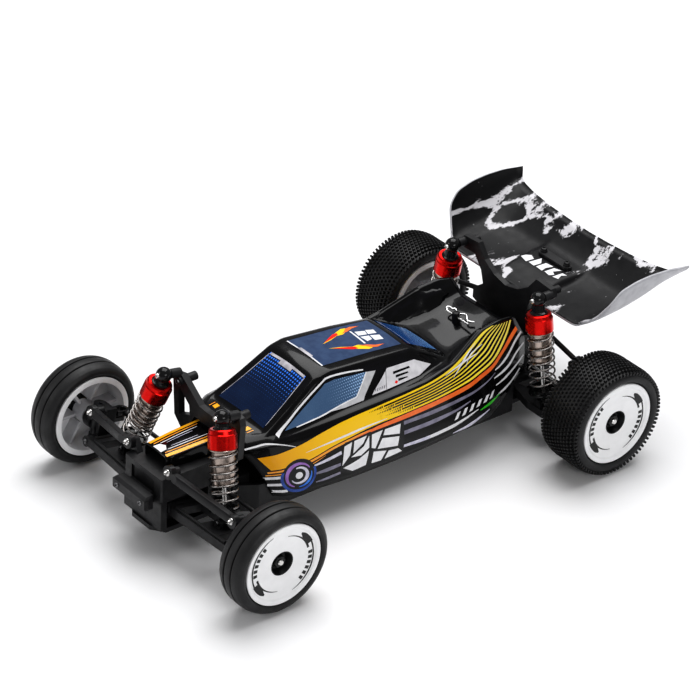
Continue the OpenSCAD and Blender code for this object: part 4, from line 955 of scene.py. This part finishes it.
def rear_tyre():
    x0, x1 = TYRE_SPAN["rear"]
    bead, crown, shoulder = LIP_R["rear"] - 2.05, 40.7, 9
    side = [(bead, 5.0), (31.7, 4.2), (32.6, 0.8), (35, 0.0), (37.4, 0.5), (39.2, 2.4), (40.0, 6.0),
            (crown, 12.0)]
    outline = [(r, x0 + d) for r, d in side] + [(r, x1 - d) for r, d in side[::-1]]
    place = wheel_matrix("rear")
    shape = Shape().turned(rounded_profile(outline, 1.5, 3), place, 128, closed=True)
    # tread pins in staggered rows
    lanes, around = 12, 78
    for lane in range(lanes):
        share = lane / (lanes - 1)
        x = x0 + 2.0 + share * (x1 - x0 - 4.0)
        inset = min(x - x0, x1 - x)
        r = crown - max(0.0, (shoulder - inset)) ** 2 * 0.028
        lean = math.radians(max(0.0, shoulder - inset) * 3.4) * (1 if share > 0.5 else -1)
        for k in range(around):
            angle = 2 * math.pi * (k + 0.5 * (lane % 2)) / around
            pin = (place @ Matrix.Rotation(angle, 4, "Z") @ Matrix.Translation((r - 0.7, 0, x))
                   @ Matrix.Rotation(-lean, 4, "Y"))
            base = [(0, y, z) for y, z in ((-1.05, -1.0), (1.05, -1.0), (1.05, 1.0), (-1.05, 1.0))]
            tip = [(2.3, 0.66 * y, 0.66 * z) for _, y, z in base]
            shape.add([pin @ Vector(p) for p in base + tip],
                      [(0, 1, 5, 4), (1, 2, 6, 5), (2, 3, 7, 6), (3, 0, 4, 7), (4, 5, 6, 7), (3, 2, 1, 0)], 1)
    both_sides("{}_rear_wheel_tyre", shape, [RUBBER, KNOB_RUBBER], "{}_rear_wheel", ["{}_rear_tyre"],
               "tyre_rubber", angle=40)


for axle in ("front", "rear"):
    rim(axle)
    hub(axle)
    rim_marks(axle)
front_tyre()
rear_tyre()


# ---------------------------------------------------------------- shocks

def front_frame():
    return Matrix.Translation((0, FRONT_Y, FRONT_R)) @ Matrix.Rotation(math.radians(-KICK), 4, "X")


def shock_matrix(end):
    """Local Z points from the lower eye to the top eye, which is the origin."""
    data = SHOCKS[end]
    top, bottom = data["top"], data["bottom"]
    lean = math.atan2(bottom[0] - top[0], top[1] - bottom[1])
    base = front_frame() if end == "front" else Matrix()
    return base @ Matrix.Translation((top[0], data["y"], top[1])) @ Matrix.Rotation(-lean, 4, "Y")


def facing_front(matrix, offset=(0, 0, 0)):
    """Turns local Z of a turned part towards the front of the car."""
    return matrix @ Matrix.Translation(offset) @ Matrix.Rotation(math.radians(90), 4, "X")


def screw(shape, matrix, radius=2.2, mark=0):
    """Domed screw head with a hexagonal socket; local Z points out of the head."""
    shape.turned([(radius, -0.6), (radius, 0.35), (radius * 0.86, 0.95), (radius * 0.5, 1.25),
                  (radius * 0.42, 1.2), (radius * 0.40, 0.3), (0, 0.3)], matrix, 24, mark)


def shock_part(end, name, shape, finishes, stands_for=(), slot="link_plastic", body="damper", **more):
    """One part of both shocks of an axle; stands_for names the CAD parts without their prefix."""
    prefix = "{}_" + end + "_"
    both_sides(prefix + "shock_" + name, shape, finishes, prefix + body,
               [prefix + "shock_" + part for part in stands_for], slot, **more)


def shock_collar(end, place):
    """Red cap: a plain crown over a band with flats."""
    cap, cap_end = SHOCKS[end]["steps"][:2]
    shape = Shape()
    shape.turned([(0, -cap), (8.2, -cap), (9.1, -cap - 0.7), (9.5, -cap - 3.2), (0, -cap - 3.6)], place, 80)
    shape.turned([(0, -cap - 3.0), (9.4, -cap - 3.0), (10.1, -cap - 3.7), (10.1, -cap_end + 0.5),
                  (9.7, -cap_end), (0, -cap_end)], place, 96, flats=10)
    shock_part(end, "collar", shape, [RED], ["cap"], "cap_red", angle=16)


def shock_top_eye(end, place):
    cap = SHOCKS[end]["steps"][0]
    shape = Shape()
    shape.ball(place, 5.7)
    shape.turned(rounded_profile([(0, -2), (4.4, -3), (4.9, -cap + 1), (6.4, -cap + 0.4), (6.4, -cap - 0.6),
                                  (0, -cap - 0.6)], 0.4), place, 48)
    screw(shape, facing_front(place, (0, -5.5, 0)), 1.9, 1)
    shock_part(end, "top_eye", shape, [GLOSS_BLACK, STEEL])


def shock_tube(end, place):
    _, cap_end, body_end, _ = SHOCKS[end]["steps"]
    outline = [(0, -cap_end + 0.1), (9.3, -cap_end + 0.1), (9.3, -cap_end - 1.2), (8.2, -cap_end - 1.7),
               (8.2, -body_end + 1.2), (7.4, -body_end), (2.2, -body_end), (2.2, -body_end + 6)]
    shape = Shape().turned(rounded_profile(outline, 0.35), place, 64)
    shock_part(end, "tube", shape, [ALUMINIUM], ["body"], "shock_aluminium")


def shock_spring(end, place):
    """A coil with closer turns at both ends."""
    _, cap_end, _, spring_end = SHOCKS[end]["steps"]
    wire, coil, turns, steps = 0.68, 9.45, 7.25, 32
    z0, z1 = -spring_end + wire, -cap_end - 1.2 - wire
    count = int(turns * steps)
    path = []
    for k in range(count + 1):
        share = k / count
        rise = share + 0.035 * math.sin(2 * math.pi * share)
        angle = 2 * math.pi * turns * share
        path.append(place @ Vector((coil * math.cos(angle), coil * math.sin(angle), z0 + (z1 - z0) * rise)))
    shape = Shape().tube(path, wire, 8)
    for side, sign in SIDES.items():
        one = shape if sign > 0 else shape.mirrored()
        made = piece(f"{side}_{end}_coil_spring", one, [SPRING], f"{side}_{end}_damper",
                     [f"{side}_{end}_spring"], "spring_steel", angle=60)
        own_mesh(made)


def shock_foot(end, place):
    """Rod, spring cup and lower eye."""
    _, _, body_end, spring_end = SHOCKS[end]["steps"]
    length = SHOCKS[end]["length"]
    shape = Shape()
    shape.turned([(0, -body_end + 4), (1.5, -body_end + 4), (1.5, -spring_end - 1), (0, -spring_end - 1)],
                 place, 24, 1)
    cup = [(0, -spring_end), (7.6, -spring_end), (8.2, -spring_end + 1.6), (8.6, -spring_end),
           (10.4, -spring_end - 0.4), (10.4, -spring_end - 2.0), (6, -spring_end - 3.2),
           (3.4, -spring_end - 4.0), (3.0, -length + 2.4), (0, -length + 2.4)]
    shape.turned(rounded_profile(cup, 0.4), place, 56)
    shape.ball(place @ Matrix.Translation((0, 0, -length)), 4.1)
    shock_part(end, "foot", shape, [GLOSS_BLACK, STEEL], ["rod"], body="damper_rod")


for axle in SHOCKS:
    for part in (shock_collar, shock_top_eye, shock_tube, shock_spring, shock_foot):
        part(axle, shock_matrix(axle))


# ---------------------------------------------------------------- screws and ball heads

def screws(name, places, finish=SCREW, body="root"):
    """Screw heads as one piece, each given by its frame and its radius."""
    shape = Shape()
    for matrix, radius in places:
        screw(shape, matrix, radius)
    make = both_sides if "{}" in name else piece
    make(name, shape, [finish], body, slot="steel_rod")


def link_studs():
    lean = front_frame()
    shape = Shape()
    for x, y, z in ((23.5, -29.0, 23.5), (82, -17.0, 14.7)):
        shape.ball(facing_front(lean, (x, y, z)), 2.7, stretch=0.7)
        screw(shape, facing_front(lean, (x, y - 1.7, z)), 1.4)
    both_sides("{}_front_link_studs", shape, [STEEL], "{}_front_camber_link", slot="steel_rod")


def arm_ribs():
    bottom, top, half = -6.2, -4.3, 0.9
    shape = Shape()
    for ends in (((25, -16.2), (76, -13.2)), ((25, 8.6), (76, 12.6))):
        shape.box([(x, y + w, z) for x, y in ends for w in (-half, half) for z in (bottom, top)],
                  front_frame())
    both_sides("{}_front_arm_ribs", shape, [PLASTIC], "{}_front_arm", slot="arm_plastic")


def hardware():
    lean, level = front_frame(), Matrix()
    backward = Matrix.Rotation(math.radians(-90), 4, "X")
    screws("bumper_screws", [(facing_front(level, (x, -213.3, 43.5)), 1.9) for x in (-13.5, 13.5)])
    link_studs()
    screws("{}_front_arm_screws", [(facing_front(lean, place), 1.9) for place in (
        (84, -15.4, -9.5), (17, -19.8, -9), (56.3, -5.4, -2.5))], body="{}_front_arm")
    arm_ribs()
    screws("{}_tower_screws", [(facing_front(level, (x, y, z)), r) for x, y, z, r in (
        (30, -151.4, 96, 1.8), (20, -149.4, 62, 1.6), (20, -149.4, 50, 1.6))])
    screws("{}_rear_tower_screws", [(Matrix.Translation(place) @ backward, 2.0) for place in (
        (44.3, 131.3, 112.9), (30, 134, 76))])
    screws("wing_screws", [(Matrix.Translation((x, 168, 106.9)), 2.2) for x in (-12.6, 12.6)],
           PLASTIC_DARK)


def body_clip():
    """A bent wire through the body post, with its loop towards the nose."""
    post = Shape().turned(rounded_profile([(0, 64), (2.8, 64), (2.8, 90.3), (2.1, 91), (0, 91)], 0.4),
                          Matrix.Translation((0, 74, 0)), 40)
    wire = Shape()
    loop = [Vector((-9 - 3.2 * math.sin(a), 76.2 - 2.2 * math.cos(a), 87.4 + 1.2 * math.sin(a)))
            for a in (math.pi * k / 12 for k in range(13))]
    bend = [Vector((x, 78.6 + 1.5 * math.sin(0.55 * x - 0.6), 87.8 + 0.7 * math.sin(0.4 * x)))
            for x in range(-8, 15)]
    wire.tube([Vector((x, 74, 87.4)) for x in range(14, -9, -2)] + loop + bend, 0.75, 12)
    piece("body_post", post, [PLASTIC_DARK], "root", ["body_clip"], "clip_wire")
    piece("body_clip_wire", wire, [CHROME], "root", slot="clip_wire", angle=60)


hardware()
body_clip()


# ---------------------------------------------------------------- finishes of the CAD nodes

def dress_nodes():
    plain = {
        "motor": CAN, "motor_pinion": BRASS, "spur_gear": PLASTIC_DARK, "battery_pack": BATTERY,
        "servo_horn": WHITE_NYLON, "body_clip": CHROME, "speed_controller": PLASTIC_DARK,
    }
    ends = {
        "tie_rod": PLASTIC_DARK, "drive_shaft": STEEL, "caster_block": PLASTIC_DARK, "knuckle": PLASTIC_DARK,
        "hub_carrier": PLASTIC_DARK, "camber_link": PLASTIC_DARK,
    }
    for name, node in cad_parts.items():
        finish = plain.get(name, PLASTIC)
        for end, other in ends.items():
            if name.endswith(end):
                finish = other
        node.data.materials.clear()
        node.data.materials.append(finish.material)


dress_nodes()


# ---------------------------------------------------------------- floor, light and camera

FLOOR_SIZE = 8.0            # metres
WORLD_STRENGTH = 0.24


def stage():
    half = FLOOR_SIZE / 2
    mesh = bpy.data.meshes.new("floor")
    mesh.from_pydata([(-half, -half, 0), (half, -half, 0), (half, half, 0), (-half, half, 0)], [],
                     [(0, 1, 2, 3)])
    floor = bpy.data.objects.new("floor", mesh)
    bpy.context.scene.collection.objects.link(floor)
    paper = Finish("floor_paper", (0.86, 0.86, 0.87)).speckle(400, (0.84, 0.84, 0.85), (0.88, 0.88, 0.89))
    paper.rough(0.55, 0.65, 60)
    mesh.materials.append(paper.material)

    world = bpy.data.worlds.new("studio")
    world.use_nodes = True
    world.node_tree.nodes["Background"].inputs["Color"].default_value = (1, 1, 1, 1)
    world.node_tree.nodes["Background"].inputs["Strength"].default_value = WORLD_STRENGTH
    bpy.context.scene.world = world


def soft_light(name, place, size, power, aim=(0, -0.02, 0.03)):
    data = bpy.data.lights.new(name, "AREA")
    data.shape = "RECTANGLE"
    data.size, data.size_y = size
    data.energy = power
    lamp = bpy.data.objects.new(name, data)
    lamp.location = place
    lamp.rotation_euler = (Vector(aim) - Vector(place)).to_track_quat("-Z", "Y").to_euler()
    bpy.context.scene.collection.objects.link(lamp)


CAMERA_ANGLES = (49.9434, 31.3076, 2.9638)     # azimuth, elevation, roll
CAMERA_DISTANCE = 2387.6253
CAMERA_AIM = (1.0223, 79.5209)                 # to the right and up from the middle of the car
CAMERA_LENS = 171.286


def camera():
    azimuth, elevation, roll = (math.radians(a) for a in CAMERA_ANGLES)
    right = Vector((math.cos(azimuth), math.sin(azimuth), 0))
    back = Vector((math.sin(azimuth) * math.cos(elevation), -math.cos(azimuth) * math.cos(elevation),
                   math.sin(elevation)))
    up = back.cross(right)
    target = right * CAMERA_AIM[0] + up * CAMERA_AIM[1] + Vector((0, (FRONT_Y + REAR_Y) / 2, 0))
    across = right * math.cos(roll) + up * math.sin(roll)
    upward = -right * math.sin(roll) + up * math.cos(roll)
    data = bpy.data.cameras.new("camera")
    data.lens, data.sensor_width, data.clip_end = CAMERA_LENS, 36, 20
    made = bpy.data.objects.new("camera", data)
    made.matrix_world = Matrix.Translation((target + back * CAMERA_DISTANCE) * MM) @ Matrix(
        (across, upward, back)).transposed().to_4x4()
    bpy.context.scene.collection.objects.link(made)
    bpy.context.scene.camera = made


bpy.context.scene.view_settings.view_transform = "Standard"
bpy.context.scene.view_settings.look = "Medium High Contrast"
stage()
soft_light("overhead", (-0.5, 0.6, 2.2), (2.2, 2.2), 58)
soft_light("front", (-0.9, -1.5, 0.9), (0.7, 0.5), 4)
soft_light("side", (1.5, -0.3, 0.8), (0.8, 0.4), 5)
camera()
